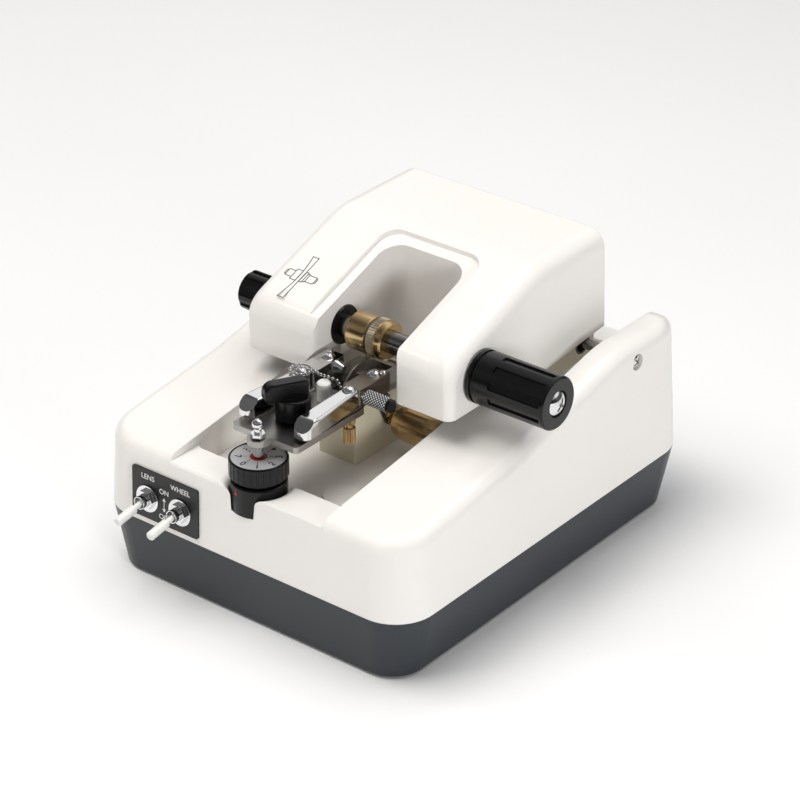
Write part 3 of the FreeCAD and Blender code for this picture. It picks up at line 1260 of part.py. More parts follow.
def make_wheel_motor():
    barrel_start = MOTOR_NOSE_X + MOTOR_NOSE_LENGTH
    nose = rod_x(MOTOR_NOSE_RADIUS, MOTOR_NOSE_X, barrel_start, MOTOR_Y, MOTOR_Z)
    nose = nose.makeFillet(MOTOR_EDGE_ROUND, edges_where(nose, lambda middle,
                                                         size: middle.x < MOTOR_NOSE_X + 0.1))
    barrel = rod_x(MOTOR_RADIUS, barrel_start, MOTOR_END_X, MOTOR_Y, MOTOR_Z)
    barrel = barrel.makeChamfer(0.6, edges_where(barrel, lambda middle, size: size.XLength < 0.1))
    tail = rod_x(MOTOR_TAIL_RADIUS, MOTOR_END_X - 1, MOTOR_TAIL_END_X, MOTOR_Y, MOTOR_Z)
    motor = nose.fuse(barrel).fuse(tail)
    return motor.cut(rod_x(MOTOR_SHAFT_RADIUS + RUN_FIT, MOTOR_NOSE_X - 1, MOTOR_NOSE_X + 6, MOTOR_Y,
                           MOTOR_Z))


def make_motor_pulley():
    stem = rod_x(MOTOR_SHAFT_RADIUS, PULLEY_X, MOTOR_NOSE_X + 5, MOTOR_Y, MOTOR_Z)
    return stem.fuse(pulley(PULLEY_X, MOTOR_Y, MOTOR_Z))


def belt_outline(radius, x):
    """The loop round both pulleys at a radius, as one closed wire."""
    a = Vector(x, MOTOR_Y, MOTOR_Z)
    b = Vector(x, WHEEL_Y, WHEEL_Z)
    along = (b - a).normalize()
    side = X_AXIS.cross(along) * radius
    lines = [Part.LineSegment(a + side, b + side), Part.LineSegment(b - side, a - side)]
    arcs = [Part.Arc(b + side, b + along * radius, b - side), Part.Arc(a - side, a - along * radius,
                                                                       a + side)]
    return Part.Wire([lines[0].toShape(), arcs[0].toShape(), lines[1].toShape(), arcs[1].toShape()])


def make_drive_belt():
    half = PULLEY_WIDTH / 2 - 0.7
    inner = PULLEY_RADIUS + RUN_FIT
    outer = Part.Face(belt_outline(inner + BELT_THICK, PULLEY_X - half)).extrude(Vector(2 * half, 0, 0))
    hole = Part.Face(belt_outline(inner, PULLEY_X - half - 1)).extrude(Vector(2 * half + 2, 0, 0))
    return outer.cut(hole)


# Stage and lens guides


def stage_top():
    return STAGE_BOTTOM_Z + STAGE_THICK


def make_stage_plate():
    w = STAGE_HALF_WIDTH
    r = STAGE_REAR_HALF_WIDTH
    rear = STAGE_PIVOT_Y - STAGE_BARREL_RADIUS - EAR_THICK
    plate = plan_slab([(-w, STAGE_FRONT_Y, STAGE_CORNER), (w, STAGE_FRONT_Y, STAGE_CORNER), (w, STAGE_STEP_Y,
                                                                                             STAGE_CORNER),
                       (r, STAGE_STEP_Y + 4, STAGE_CORNER), (r, rear, STAGE_CORNER), (-r, rear, STAGE_CORNER),
                       (-r, STAGE_STEP_Y + 4, STAGE_CORNER), (-w, STAGE_STEP_Y, STAGE_CORNER)],
                      STAGE_BOTTOM_Z, stage_top())
    tab = rod_z(TAB_RADIUS, STAGE_BOTTOM_Z, stage_top(), DIAL_X, DIAL_Y)
    neck = box(DIAL_X - TAB_RADIUS, DIAL_X + TAB_RADIUS, DIAL_Y, STAGE_FRONT_Y + 1, STAGE_BOTTOM_Z,
               stage_top())
    pivot_z = STAGE_BOTTOM_Z + STAGE_THICK / 2
    left = WHEEL_BOX_LEFT_X + EAR_THICK + MOVE_GAP
    right = WHEEL_BOX_RIGHT_X - EAR_THICK - MOVE_GAP
    barrel = rod_x(STAGE_BARREL_RADIUS, left, right, STAGE_PIVOT_Y, pivot_z)
    tail = box(left, right, rear - 1, STAGE_PIVOT_Y, STAGE_BOTTOM_Z, stage_top())
    plate = plate.fuse(tab).fuse(neck).fuse(tail).fuse(barrel)
    plate = plate.cut(rod_x(STAGE_PIVOT_RADIUS + RUN_FIT, -BIG, BIG, STAGE_PIVOT_Y, pivot_z))
    plate = plate.cut(rod_z(ROD_RADIUS + ROD_HOLE_GAP, 0, BIG, DIAL_X, DIAL_Y))
    slot = box(-STAGE_SLOT_HALF_WIDTH, STAGE_SLOT_HALF_WIDTH, WHEEL_Y - WHEEL_RADIUS - 1.2,
               WHEEL_Y + WHEEL_RADIUS + 1.0, 0, BIG)
    plate = plate.cut(slot)
    plate = plate.cut(rod_z(MODE_SHAFT_RADIUS + RUN_FIT, 0, BIG, 0, MODE_KNOB_Y))
    for side in (-1, 1):
        plate = plate.cut(rod_z(PIVOT_SCREW_RADIUS, 0, BIG, side * GUIDE_PIVOT_X, GUIDE_PIVOT_Y))
    return plate.removeSplitter()


def make_stage_pivot_pin():
    pivot_z = STAGE_BOTTOM_Z + STAGE_THICK / 2
    return rod_x(STAGE_PIVOT_RADIUS, WHEEL_BOX_LEFT_X - 1, WHEEL_BOX_RIGHT_X + 1, STAGE_PIVOT_Y, pivot_z)


def lever_top():
    return LEVER_BOTTOM_Z + LEVER_THICK


def make_right_handle():
    """A boat-shaped finger grip with a rounded tip and soft upper edges."""
    x = GUIDE_PIVOT_X
    outline = [(x - HANDLE_TIP_HALF, HANDLE_TIP_Y, HANDLE_TIP_ROUND), (x + HANDLE_TIP_HALF, HANDLE_TIP_Y,
                                                                       HANDLE_TIP_ROUND),
               (x + HANDLE_MID_HALF, HANDLE_TIP_Y + 8, 10), (x + HANDLE_REAR_HALF, HANDLE_REAR_Y, 0),
               (x - HANDLE_REAR_HALF, HANDLE_REAR_Y, 0), (x - HANDLE_MID_HALF, HANDLE_TIP_Y + 8, 10)]
    grip = plan_slab(outline, lever_top(), HANDLE_TOP_Z)
    top = edges_where(grip, lambda middle,
                      size: middle.z > HANDLE_TOP_Z - 0.01 and middle.y < HANDLE_REAR_Y - 0.1)
    grip = grip.makeFillet(HANDLE_EDGE_ROUND, top)
    nose = side_slab([(HANDLE_TIP_Y - 1, lever_top() - 1, 0), (HANDLE_TIP_Y - 1, HANDLE_TOP_Z - 5.4, 0),
                      (HANDLE_TIP_Y + 6.5, HANDLE_TOP_Z + 0.6, 6), (HANDLE_REAR_Y + 1, HANDLE_TOP_Z + 0.6, 0),
                      (HANDLE_REAR_Y + 1, lever_top() - 1, 0)], x - BIG, x + BIG)
    grip = turned_about(grip.common(nose), Vector(x, GUIDE_PIVOT_Y, 0), Z_AXIS, HANDLE_TURN)
    return grip.cut(rod_z(PIVOT_SCREW_RADIUS + RUN_FIT, 0, BIG, x, GUIDE_PIVOT_Y))


def make_right_guide_block():
    """The lever plate under the handle, the block behind it and the pad beside the wheel."""
    x = GUIDE_PIVOT_X
    plate = plan_slab([(x - HANDLE_REAR_HALF, HANDLE_REAR_Y - 14, 2), (x + HANDLE_REAR_HALF,
                                                                       HANDLE_REAR_Y - 14, 2),
                       (BLOCK_OUTER_X, BLOCK_FRONT_Y, 1), (BLOCK_OUTER_X, BLOCK_REAR_Y, 1),
                       (BLOCK_INNER_X, BLOCK_REAR_Y, 1), (BLOCK_INNER_X, BLOCK_FRONT_Y, 1)], LEVER_BOTTOM_Z,
                      lever_top())
    block = rounded_block(BLOCK_INNER_X, BLOCK_OUTER_X, BLOCK_FRONT_Y, BLOCK_REAR_Y, LEVER_BOTTOM_Z,
                          HANDLE_TOP_Z, 0.8)
    tip = turned_x([(BLOCK_INNER_X + 1, 0.0), (BLOCK_INNER_X + 1, GUIDE_TIP_RADIUS), (BLOCK_INNER_X - 0.8,
                                                                                      GUIDE_TIP_RADIUS),
                    (GUIDE_TIP_REACH, GUIDE_TIP_RADIUS / 2), (GUIDE_TIP_REACH, 0.0)], GUIDE_TIP_Y,
                   GUIDE_TIP_Z)
    piece = plate.fuse(block).fuse(tip)
    piece = piece.cut(rod_z(PIVOT_SCREW_RADIUS + RUN_FIT, 0, BIG, x, GUIDE_PIVOT_Y))
    middle = (BLOCK_INNER_X + BLOCK_OUTER_X) / 2
    piece = piece.cut(rod_z(PIVOT_SCREW_RADIUS, HANDLE_TOP_Z - SCREW_DEPTH, BIG, middle, BLOCK_SCREW_Y))
    piece = piece.cut(rod_z(SMALL_SCREW_RADIUS / 2, HANDLE_TOP_Z - SCREW_DEPTH, BIG, BLOCK_OUTER_X - 2.4,
                            SMALL_SCREW_Y))
    return piece.removeSplitter()


def with_adjuster_hole(block):
    hole = rod_x(ADJUSTER_THREAD_RADIUS + RUN_FIT, BLOCK_OUTER_X - ADJUSTER_THREAD_DEPTH - 1, BIG,
                 ADJUSTER_Y, ADJUSTER_Z)
    return block.cut(hole)


def dome_screw(x, y, top, head_radius, head_height, shank_radius, depth):
    """A round-headed cross screw standing in a surface at height top."""
    head = dome(head_radius, head_height, Vector(x, y, top), Z_AXIS)
    shank = rod_z(shank_radius, top - depth, top + head_height / 3, x, y)
    slot = cross_slot(Vector(x, y, top + head_height), Z_AXIS, Vector(0.8, 0.6, 0), head_radius * 1.1,
                      head_radius / 4, head_height / 2)
    return head.fuse(shank).cut(slot)


def make_right_guide_screws():
    middle = (BLOCK_INNER_X + BLOCK_OUTER_X) / 2
    large = dome_screw(middle, BLOCK_SCREW_Y, HANDLE_TOP_Z, PIVOT_HEAD_RADIUS, PIVOT_HEAD_HEIGHT,
                       PIVOT_SCREW_RADIUS, SCREW_DEPTH)
    small = dome_screw(BLOCK_OUTER_X - 2.4, SMALL_SCREW_Y, HANDLE_TOP_Z, SMALL_SCREW_RADIUS, 1.0,
                       SMALL_SCREW_RADIUS / 2, SCREW_DEPTH)
    return Part.makeCompound([large, small])


def make_guide_pivot_screws():
    depth = HANDLE_TOP_Z + RUN_FIT - PIVOT_NUT_BOTTOM_Z - 1
    screw = dome_screw(GUIDE_PIVOT_X, GUIDE_PIVOT_Y, HANDLE_TOP_Z + RUN_FIT, PIVOT_HEAD_RADIUS,
                       PIVOT_HEAD_HEIGHT,
                       PIVOT_SCREW_RADIUS, depth)
    return Part.makeCompound([screw, mirrored(screw)])


def make_pivot_nuts():
    """Knurled brass nuts under the stage that hold the pivot screws."""
    points = []
    for i in range(24):
        for share, radius in ((0.0, PIVOT_NUT_RADIUS - 0.25), (0.5, PIVOT_NUT_RADIUS)):
            angle = 2 * math.pi * (i + share) / 24
            points.append(Vector(GUIDE_PIVOT_X + radius * math.cos(angle),
                                 GUIDE_PIVOT_Y + radius * math.sin(angle), PIVOT_NUT_BOTTOM_Z))
    length = STAGE_BOTTOM_Z - PIVOT_NUT_BOTTOM_Z
    knurled = Part.Face(Part.makePolygon(points + points[:1])).extrude(Vector(0, 0, length))
    waist_z = PIVOT_NUT_BOTTOM_Z + length * 0.55
    waist = rod_z(BIG, waist_z, waist_z + 2.2, GUIDE_PIVOT_X, GUIDE_PIVOT_Y)
    waist = waist.cut(rod_z(PIVOT_NUT_RADIUS - 0.8, 0, BIG, GUIDE_PIVOT_X, GUIDE_PIVOT_Y))
    nut = knurled.cut(waist).cut(rod_z(PIVOT_SCREW_RADIUS, 0, BIG, GUIDE_PIVOT_X, GUIDE_PIVOT_Y))
    return Part.makeCompound([nut, mirrored(nut)])


def make_nylon_post():
    top = POST_PLUG_TOP_Z
    points = [(0.0, stage_top()), (POST_PLUG_RADIUS, stage_top()), (POST_PLUG_RADIUS, top - 0.8),
              (POST_PLUG_RADIUS - 0.8, top), (0.0, top)]
    return turned_z(points, 0, POST_PLUG_Y)


def chain_route():
    """The bead chain: most of a ring round the left pivot screw, then over the post."""
    z = HANDLE_TOP_Z + CHAIN_LIFT
    points = []
    for degrees in (-80, -20, 40, 100, 160, 220, 280):
        angle = math.radians(-degrees)
        points.append(Vector(-GUIDE_PIVOT_X + CHAIN_LOOP_RADIUS * math.cos(angle),
                             GUIDE_PIVOT_Y + CHAIN_LOOP_RADIUS * math.sin(angle), z))
    return points


def rounded_tube(points, radius):
    """A tube along straight runs joined by the largest tangent arcs."""
    edges = []
    last = points[0]
    for i in range(1, len(points) - 1):
        before, here, after = points[i - 1], points[i], points[i + 1]
        run = 0.45 * min((here - before).Length, (after - here).Length)
        start = here + (before - here).normalize() * run
        end = here + (after - here).normalize() * run
        half = (before - here).getAngle(after - here) / 2
        bend = run * math.tan(half)
        middle = here + ((before - here).normalize() + (after - here).normalize()).normalize() * (bend / math.sin(half) - bend)
        edges.append(Part.LineSegment(last, start).toShape())
        edges.append(Part.Arc(start, middle, end).toShape())
        last = end
    edges.append(Part.LineSegment(last, points[-1]).toShape())
    path = Part.Wire(edges)
    along = (points[1] - points[0]).normalize()
    circle = Part.Wire(Part.makeCircle(radius, points[0], along))
    return path.makePipeShell([circle], True, False)


def make_bead_chain():
    route = chain_route()
    z = HANDLE_TOP_Z + CHAIN_LIFT
    route += [Vector(-POST_PLUG_RADIUS - 2.6, POST_PLUG_Y + 2.0, z + 0.4), Vector(-POST_PLUG_RADIUS / 2,
                                                                                  POST_PLUG_Y + 1.2, z + 0.9),
              Vector(POST_PLUG_RADIUS / 2, POST_PLUG_Y + 1.6, z + 0.9), Vector(POST_PLUG_RADIUS + 1.6,
                                                                               POST_PLUG_Y + 3.4, z - 0.6),
              Vector(POST_PLUG_RADIUS + 2.2, POST_PLUG_Y + 5.0, z - 4.4), Vector(POST_PLUG_RADIUS + 2.0,
                                                                                 POST_PLUG_Y + 5.4,
                                                                                 stage_top() + 0.1)]
    return rounded_tube(route, CHAIN_RADIUS)


def make_mode_knob():
    """A round body with a thick pointer wing across its top."""
    stem = rod_z(MODE_STEM_RADIUS, stage_top() + MOVE_GAP, MODE_BODY_BOTTOM_Z + 1, 0, MODE_KNOB_Y)
    body = rod_z(MODE_BODY_RADIUS, MODE_BODY_BOTTOM_Z, MODE_BODY_TOP_Z, 0, MODE_KNOB_Y)
    body = body.makeFillet(0.8, edges_where(body, lambda middle, size: middle.z > MODE_BODY_TOP_Z - 0.1))
    front = MODE_KNOB_Y - MODE_WING_FRONT
    rear = MODE_KNOB_Y + MODE_WING_REAR
    wing = side_slab([(front, MODE_WING_BOTTOM_Z, 3.5), (front, MODE_WING_TOP_Z, 4.5),
                      (rear, MODE_WING_TOP_Z, 3.0),
                      (rear, MODE_WING_BOTTOM_Z, 1.5)], -MODE_WING_HALF_THICK, MODE_WING_HALF_THICK)
    wing = wing.makeFillet(MODE_WING_ROUND / 2, edges_where(wing, lambda middle, size: size.XLength < 0.01))
    shaft = rod_z(MODE_SHAFT_RADIUS, STAGE_BOTTOM_Z - 1.5, MODE_BODY_BOTTOM_Z + 1, 0, MODE_KNOB_Y)
    knob = body.fuse(stem).fuse(shaft).fuse(wing)
    return turned_about(knob, Vector(0, MODE_KNOB_Y, 0), Z_AXIS, -MODE_REST_ANGLE)


def make_groove_adjuster():
    """A knurled thumb screw along X, threaded into the rear of the right handle."""
    points = []
    for i in range(ADJUSTER_KNURLS):
        for share, radius in ((0.0, ADJUSTER_RADIUS - 0.2), (0.5, ADJUSTER_RADIUS)):
            angle = 2 * math.pi * (i + share) / ADJUSTER_KNURLS
            points.append(Vector(ADJUSTER_START_X, ADJUSTER_Y + radius * math.cos(angle),
                                 ADJUSTER_Z + radius * math.sin(angle)))
    knurled_end = ADJUSTER_END_X - ADJUSTER_CAP
    grip = Part.Face(Part.makePolygon(points + points[:1])).extrude(Vector(knurled_end - ADJUSTER_START_X, 0,
                                                                           0))
    cap = rod_x(ADJUSTER_RADIUS - 0.3, knurled_end, ADJUSTER_END_X, ADJUSTER_Y, ADJUSTER_Z)
    thread_start = BLOCK_OUTER_X - ADJUSTER_THREAD_DEPTH
    thread = rod_x(ADJUSTER_THREAD_RADIUS, thread_start, ADJUSTER_START_X + 1, ADJUSTER_Y, ADJUSTER_Z)
    return grip.fuse(cap).fuse(thread)


# Depth dial


def make_dial_base():
    points = [(ROD_RADIUS + RUN_FIT, TUB_FLOOR_Z), (DIAL_BASE_RADIUS, TUB_FLOOR_Z), (DIAL_BASE_RADIUS,
                                                                                     DIAL_BASE_TOP_Z - 0.6),
              (DIAL_BASE_RADIUS - 0.6, DIAL_BASE_TOP_Z), (ROD_RADIUS + RUN_FIT, DIAL_BASE_TOP_Z)]
    return turned_z(points, DIAL_X, DIAL_Y)


def make_depth_knob():
    bottom = DIAL_BASE_TOP_Z + MOVE_GAP
    face_z = DIAL_TOP_Z - DIAL_FACE_DEPTH - DIAL_FACE_THICK
    points = [(ROD_RADIUS, bottom), (DIAL_NECK_RADIUS, bottom), (DIAL_NECK_RADIUS, DIAL_NECK_TOP_Z),
              (DIAL_RADIUS - 0.6, DIAL_NECK_TOP_Z), (DIAL_RADIUS, DIAL_NECK_TOP_Z + 0.6), (DIAL_RADIUS,
                                                                                           DIAL_TOP_Z - 0.5),
              (DIAL_RADIUS - 0.5, DIAL_TOP_Z), (DIAL_RADIUS - DIAL_RIM, DIAL_TOP_Z), (DIAL_RADIUS - DIAL_RIM,
                                                                                      face_z),
              (ROD_RADIUS, face_z)]
    knob = turned_z(points, DIAL_X, DIAL_Y)
    for i in range(DIAL_FLUTES):
        angle = 2 * math.pi * i / DIAL_FLUTES
        x = DIAL_X + (DIAL_RADIUS + 0.2) * math.cos(angle)
        y = DIAL_Y + (DIAL_RADIUS + 0.2) * math.sin(angle)
        knob = knob.cut(rod_z(DIAL_FLUTE_RADIUS, DIAL_NECK_TOP_Z - 1, DIAL_TOP_Z - 0.9, x, y))
    return knob


def make_dial_face():
    bottom = DIAL_TOP_Z - DIAL_FACE_DEPTH - DIAL_FACE_THICK
    disc = rod_z(DIAL_RADIUS - DIAL_RIM, bottom, bottom + DIAL_FACE_THICK, DIAL_X, DIAL_Y)
    return disc.cut(rod_z(DIAL_HUB_RADIUS, 0, BIG, DIAL_X, DIAL_Y))


def make_dial_hub():
    bottom = DIAL_TOP_Z - DIAL_FACE_DEPTH - DIAL_FACE_THICK
    disc = rod_z(DIAL_HUB_RADIUS, bottom, bottom + DIAL_HUB_THICK, DIAL_X, DIAL_Y)
    return disc.cut(rod_z(ROD_RADIUS, 0, BIG, DIAL_X, DIAL_Y))


def make_depth_rod():
    rod = rod_z(ROD_RADIUS, ROD_BOTTOM_Z, ROD_BALL_Z, DIAL_X, DIAL_Y)
    sleeve = rod_z(ROD_SLEEVE_RADIUS, DIAL_TOP_Z, ROD_SLEEVE_TOP_Z, DIAL_X, DIAL_Y)
    return rod.fuse(sleeve).fuse(Part.makeSphere(ROD_BALL_RADIUS, Vector(DIAL_X, DIAL_Y, ROD_BALL_Z)))


def make_depth_nut():
    bottom = stage_top() + MOVE_GAP
    nut = hexagon_z(ROD_NUT_RADIUS, bottom, bottom + ROD_NUT_THICK, DIAL_X, DIAL_Y)
    return nut.cut(rod_z(ROD_RADIUS, 0, BIG, DIAL_X, DIAL_Y))


# Writing every piece

save("base_tray", make_base_tray())
save("rubber_feet", make_rubber_feet())
save("base_screws", make_base_screws())
save("upper_housing", make_upper_housing())
save("switch_plate", make_switch_plate())
save("switch_bodies", make_switch_bodies())
save("switch_washers", make_switch_washers())
save("switch_nuts", make_switch_nuts())
save("lens_switch_lever", make_switch_lever(LENS_SWITCH_X))
save("wheel_switch_lever", make_switch_lever(WHEEL_SWITCH_X))
save("power_inlet", make_power_inlet())
save("transformer", make_transformer())
save("head_cover", make_head_cover())
save("head_frame", make_head_frame())
save("hinge_bushes", make_hinge_bushes())
save("hinge_shaft", make_hinge_shaft())
save("hinge_screws", make_hinge_screws())
save("left_flange", make_left_flange())
save("right_flange", make_right_flange())
save("shaft_bushes", make_shaft_bushes())
save("lens_gear", make_lens_gear())
save("lens_pinion", make_lens_pinion())
save("lens_motor", make_lens_motor())
save("left_shaft", make_left_shaft())
save("left_chuck", make_left_chuck())
save("left_pad", make_pad(CONTACT_X - PAD_THICK, CONTACT_X))
save("left_knob", make_left_knob())
save("right_shaft", make_right_shaft())
save("right_chuck", make_right_chuck())
save("right_pad", make_pad(CONTACT_X + PAD_GAP, CONTACT_X + PAD_GAP + PAD_THICK))
save("clamp_sleeve", make_clamp_sleeve())
save("clamp_knob", make_clamp_knob())
save("clamp_knob_screw", make_knob_screw())
save("wheel_housing", make_wheel_housing())
save("wheel_bearings", make_wheel_bearings())
save("wheel_spindle", make_wheel_spindle())
save("grooving_wheel", make_grooving_wheel())
save("wheel_motor", make_wheel_motor())
save("motor_pulley", make_motor_pulley())
save("drive_belt", make_drive_belt())
save("stage_plate", make_stage_plate())
save("stage_pivot_pin", make_stage_pivot_pin())
right_handle = save("right_handle", make_right_handle())
guide_block = make_right_guide_block()
save("right_guide_block", with_adjuster_hole(guide_block))
right_screws = save("right_guide_screws", make_right_guide_screws())
save("left_handle", mirrored(right_handle))
save("left_guide_block", mirrored(guide_block))
save("left_guide_screws", mirrored(right_screws))
save("guide_pivot_screws", make_guide_pivot_screws())
save("pivot_nuts", make_pivot_nuts())
save("nylon_post", make_nylon_post())
save("bead_chain", make_bead_chain())
save("mode_knob", make_mode_knob())
save("groove_adjuster", make_groove_adjuster())
save("dial_base", make_dial_base())
save("depth_knob", make_depth_knob())
save("dial_face", make_dial_face())
save("dial_hub", make_dial_hub())
save("depth_rod", make_depth_rod())
save("depth_nut", make_depth_nut())
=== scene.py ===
import math

import bpy
from mathutils import Matrix, Vector


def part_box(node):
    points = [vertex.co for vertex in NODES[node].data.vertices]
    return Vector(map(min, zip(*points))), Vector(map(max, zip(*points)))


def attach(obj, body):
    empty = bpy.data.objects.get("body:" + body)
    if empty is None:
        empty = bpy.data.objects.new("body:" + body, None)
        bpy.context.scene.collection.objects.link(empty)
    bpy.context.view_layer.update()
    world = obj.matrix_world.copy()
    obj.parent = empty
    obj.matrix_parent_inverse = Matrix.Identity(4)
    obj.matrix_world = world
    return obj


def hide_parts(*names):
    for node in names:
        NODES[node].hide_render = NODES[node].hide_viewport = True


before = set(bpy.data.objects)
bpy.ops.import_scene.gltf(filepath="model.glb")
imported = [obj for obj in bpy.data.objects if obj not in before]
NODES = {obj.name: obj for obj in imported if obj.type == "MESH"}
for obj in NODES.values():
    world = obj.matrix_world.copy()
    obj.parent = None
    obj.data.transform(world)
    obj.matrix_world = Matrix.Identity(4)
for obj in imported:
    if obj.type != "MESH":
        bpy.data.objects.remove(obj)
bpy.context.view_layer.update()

# Looks of the lens groover, in metres, in the same frame as the CAD model.

MM = 0.001

# Places taken over from the CAD model
PLANE_LIFT = 0.04 * MM          # printed marks stand this far off their surface
DIAL_X = -1.0 * MM
DIAL_Y = -95.5 * MM
DIAL_FACE_RADIUS = 12.0 * MM
GUIDE_PIVOT_X = 13.5 * MM
GUIDE_PIVOT_Y = -52.5 * MM
CHAIN_Z = 98.45 * MM
CHAIN_LOOP_RADIUS = 4.7 * MM
BEAD_RADIUS = 0.74 * MM
BEAD_PITCH = 2.1 * MM
LINK_RADIUS = 0.22 * MM
POST_Y = -53.0 * MM
POST_RADIUS = 3.1 * MM
STAGE_TOP_Z = 88.3 * MM
KNURL_CENTRE_Y = -47.9 * MM
KNURL_CENTRE_Z = 94.3 * MM
KNURL_RADIUS = 3.3 * MM
KNURL_START_X = 20.2 * MM
KNURL_CAP_X = 31.9 * MM
CHUCK_RING_END_X = 5.65 * MM


# Materials


def new_material(name):
    """An empty node material with its output, and a principled shader joined to it."""
    material = bpy.data.materials.new(name)
    material.use_nodes = True
    tree = material.node_tree
    tree.nodes.clear()
    output = tree.nodes.new("ShaderNodeOutputMaterial")
    shader = tree.nodes.new("ShaderNodeBsdfPrincipled")
    tree.links.new(shader.outputs["BSDF"], output.inputs["Surface"])
    return material, tree, shader


def noise(tree, scale, detail=4.0, stretch=(1.0, 1.0, 1.0)):
    """Noise over the object's own coordinates, which are metres."""
    place = tree.nodes.new("ShaderNodeTexCoord")
    mapping = tree.nodes.new("ShaderNodeMapping")
    mapping.inputs["Scale"].default_value = stretch
    texture = tree.nodes.new("ShaderNodeTexNoise")
    texture.inputs["Scale"].default_value = scale
    texture.inputs["Detail"].default_value = detail
    tree.links.new(place.outputs["Object"], mapping.inputs["Vector"])
    tree.links.new(mapping.outputs["Vector"], texture.inputs["Vector"])
    return texture.outputs["Fac"]


def ramp(tree, factor, low, high, start=0.3, end=0.7):
    """Turns a factor into a colour between low and high."""
    node = tree.nodes.new("ShaderNodeValToRGB")
    node.color_ramp.elements[0].position = start
    node.color_ramp.elements[1].position = end
    node.color_ramp.elements[0].color = (*low, 1.0)
    node.color_ramp.elements[1].color = (*high, 1.0)
    tree.links.new(factor, node.inputs["Fac"])
    return node.outputs["Color"]


def spread(tree, factor, low, high):
    """Turns a factor from 0 to 1 into a number between low and high."""
    node = tree.nodes.new("ShaderNodeMapRange")
    node.inputs["To Min"].default_value = low
    node.inputs["To Max"].default_value = high
    tree.links.new(factor, node.inputs["Value"])
    return node.outputs["Result"]


def maths(tree, operation, value, other):
    """One step of arithmetic on a factor."""
    node = tree.nodes.new("ShaderNodeMath")
    node.operation = operation
    tree.links.new(value, node.inputs[0])
    node.inputs[1].default_value = other
    return node.outputs["Value"]


def halved(tree, value):
    """Turns a number from -1 to 1 into a factor from 0 to 1."""
    factor = maths(tree, "MULTIPLY_ADD", value, 0.5)
    factor.node.inputs[2].default_value = 0.5
    return factor


BEVEL_SAMPLES = 4


def soft_edges(tree, radius):
    """Normals that look as if sharp edges were rounded."""
    node = tree.nodes.new("ShaderNodeBevel")
    node.samples = BEVEL_SAMPLES
    node.inputs["Radius"].default_value = radius
    return node.outputs["Normal"]


def bumps(tree, height, strength, distance, normal):
    """Normals with a fine relief on them."""
    node = tree.nodes.new("ShaderNodeBump")
    node.inputs["Strength"].default_value = strength
    node.inputs["Distance"].default_value = distance
    tree.links.new(height, node.inputs["Height"])
    tree.links.new(normal, node.inputs["Normal"])
    return node.outputs["Normal"]


PATCH_DETAIL = 5.0
GRAIN_DETAIL = 3.0
GRAIN_STRENGTH = 0.6
GLOSS_SPREAD = 0.15     # share by which the roughness goes up and down
COAT_ROUGHNESS = 0.08


def finish(name, colour, roughness, metallic=0.0, vary=0.04, patch=60.0, grain=900.0, grain_depth=0.0,
           edge=0.25 * MM, coat=0.0, stretch=(1.0, 1.0, 1.0)):
    """A surface whose colour, gloss and fine relief all vary a little over it."""
    material, tree, shader = new_material(name)
    darker = tuple(c * (1.0 - vary) for c in colour)
    lighter = tuple(min(1.0, c * (1.0 + vary)) for c in colour)
    patches = noise(tree, patch, PATCH_DETAIL)
    fine = noise(tree, grain, GRAIN_DETAIL, stretch)
    tree.links.new(ramp(tree, patches, darker, lighter), shader.inputs["Base Color"])
    smoothest = roughness * (1.0 - GLOSS_SPREAD)
    roughest = roughness * (1.0 + GLOSS_SPREAD)
    tree.links.new(spread(tree, fine, smoothest, roughest), shader.inputs["Roughness"])
    shader.inputs["Metallic"].default_value = metallic
    shader.inputs["Coat Weight"].default_value = coat
    shader.inputs["Coat Roughness"].default_value = COAT_ROUGHNESS
    normal = soft_edges(tree, edge)
    if grain_depth > 0.0:
        normal = bumps(tree, fine, GRAIN_STRENGTH, grain_depth, normal)
    tree.links.new(normal, shader.inputs["Normal"])
    return material


def shell_white():
    return finish("shell_white", (0.86, 0.833, 0.797), 0.32, vary=0.010, patch=9.0, grain=500.0,
                  grain_depth=0.008 * MM, edge=0.4 * MM, coat=0.3)


def tray_grey():
    material = finish("tray_grey", (0.024, 0.029, 0.036), 0.36, vary=0.06, patch=14.0, grain=1500.0,
                      grain_depth=0.02 * MM, edge=0.4 * MM)
    material.node_tree.nodes["Principled BSDF"].inputs["Specular IOR Level"].default_value = 0.4
    return material


def black_plastic():
    material = finish("black_plastic", (0.0040, 0.0040, 0.0042), 0.24, vary=0.2, patch=90.0, grain=1800.0,
                      grain_depth=0.004 * MM, edge=0.25 * MM)
    material.node_tree.nodes["Principled BSDF"].inputs["Specular IOR Level"].default_value = 0.32
    return material


def panel_black():
    return finish("panel_black", (0.007, 0.007, 0.0075), 0.36, vary=0.15, patch=90.0, grain=2500.0,
                  grain_depth=0.008 * MM, edge=0.1 * MM)


def pad_rubber():
    return finish("pad_rubber", (0.11, 0.085, 0.06), 0.6, vary=0.15, patch=120.0, grain=2500.0,
                  grain_depth=0.02 * MM)


def foot_rubber():
    return finish("foot_rubber", (0.018, 0.018, 0.018), 0.75, vary=0.15, patch=120.0, grain=2500.0,
                  grain_depth=0.03 * MM)


def steel():
    return finish("steel", (0.28, 0.265, 0.25), 0.23, metallic=1.0, vary=0.10, patch=70.0, grain=700.0,
                  grain_depth=0.006 * MM, edge=0.2 * MM, stretch=(1.0, 14.0, 14.0))


def plate_steel():
    return finish("plate_steel", (0.40, 0.385, 0.365), 0.30, metallic=1.0, vary=0.16, patch=60.0, grain=600.0,
                  grain_depth=0.008 * MM, edge=0.25 * MM, stretch=(14.0, 1.0, 14.0))


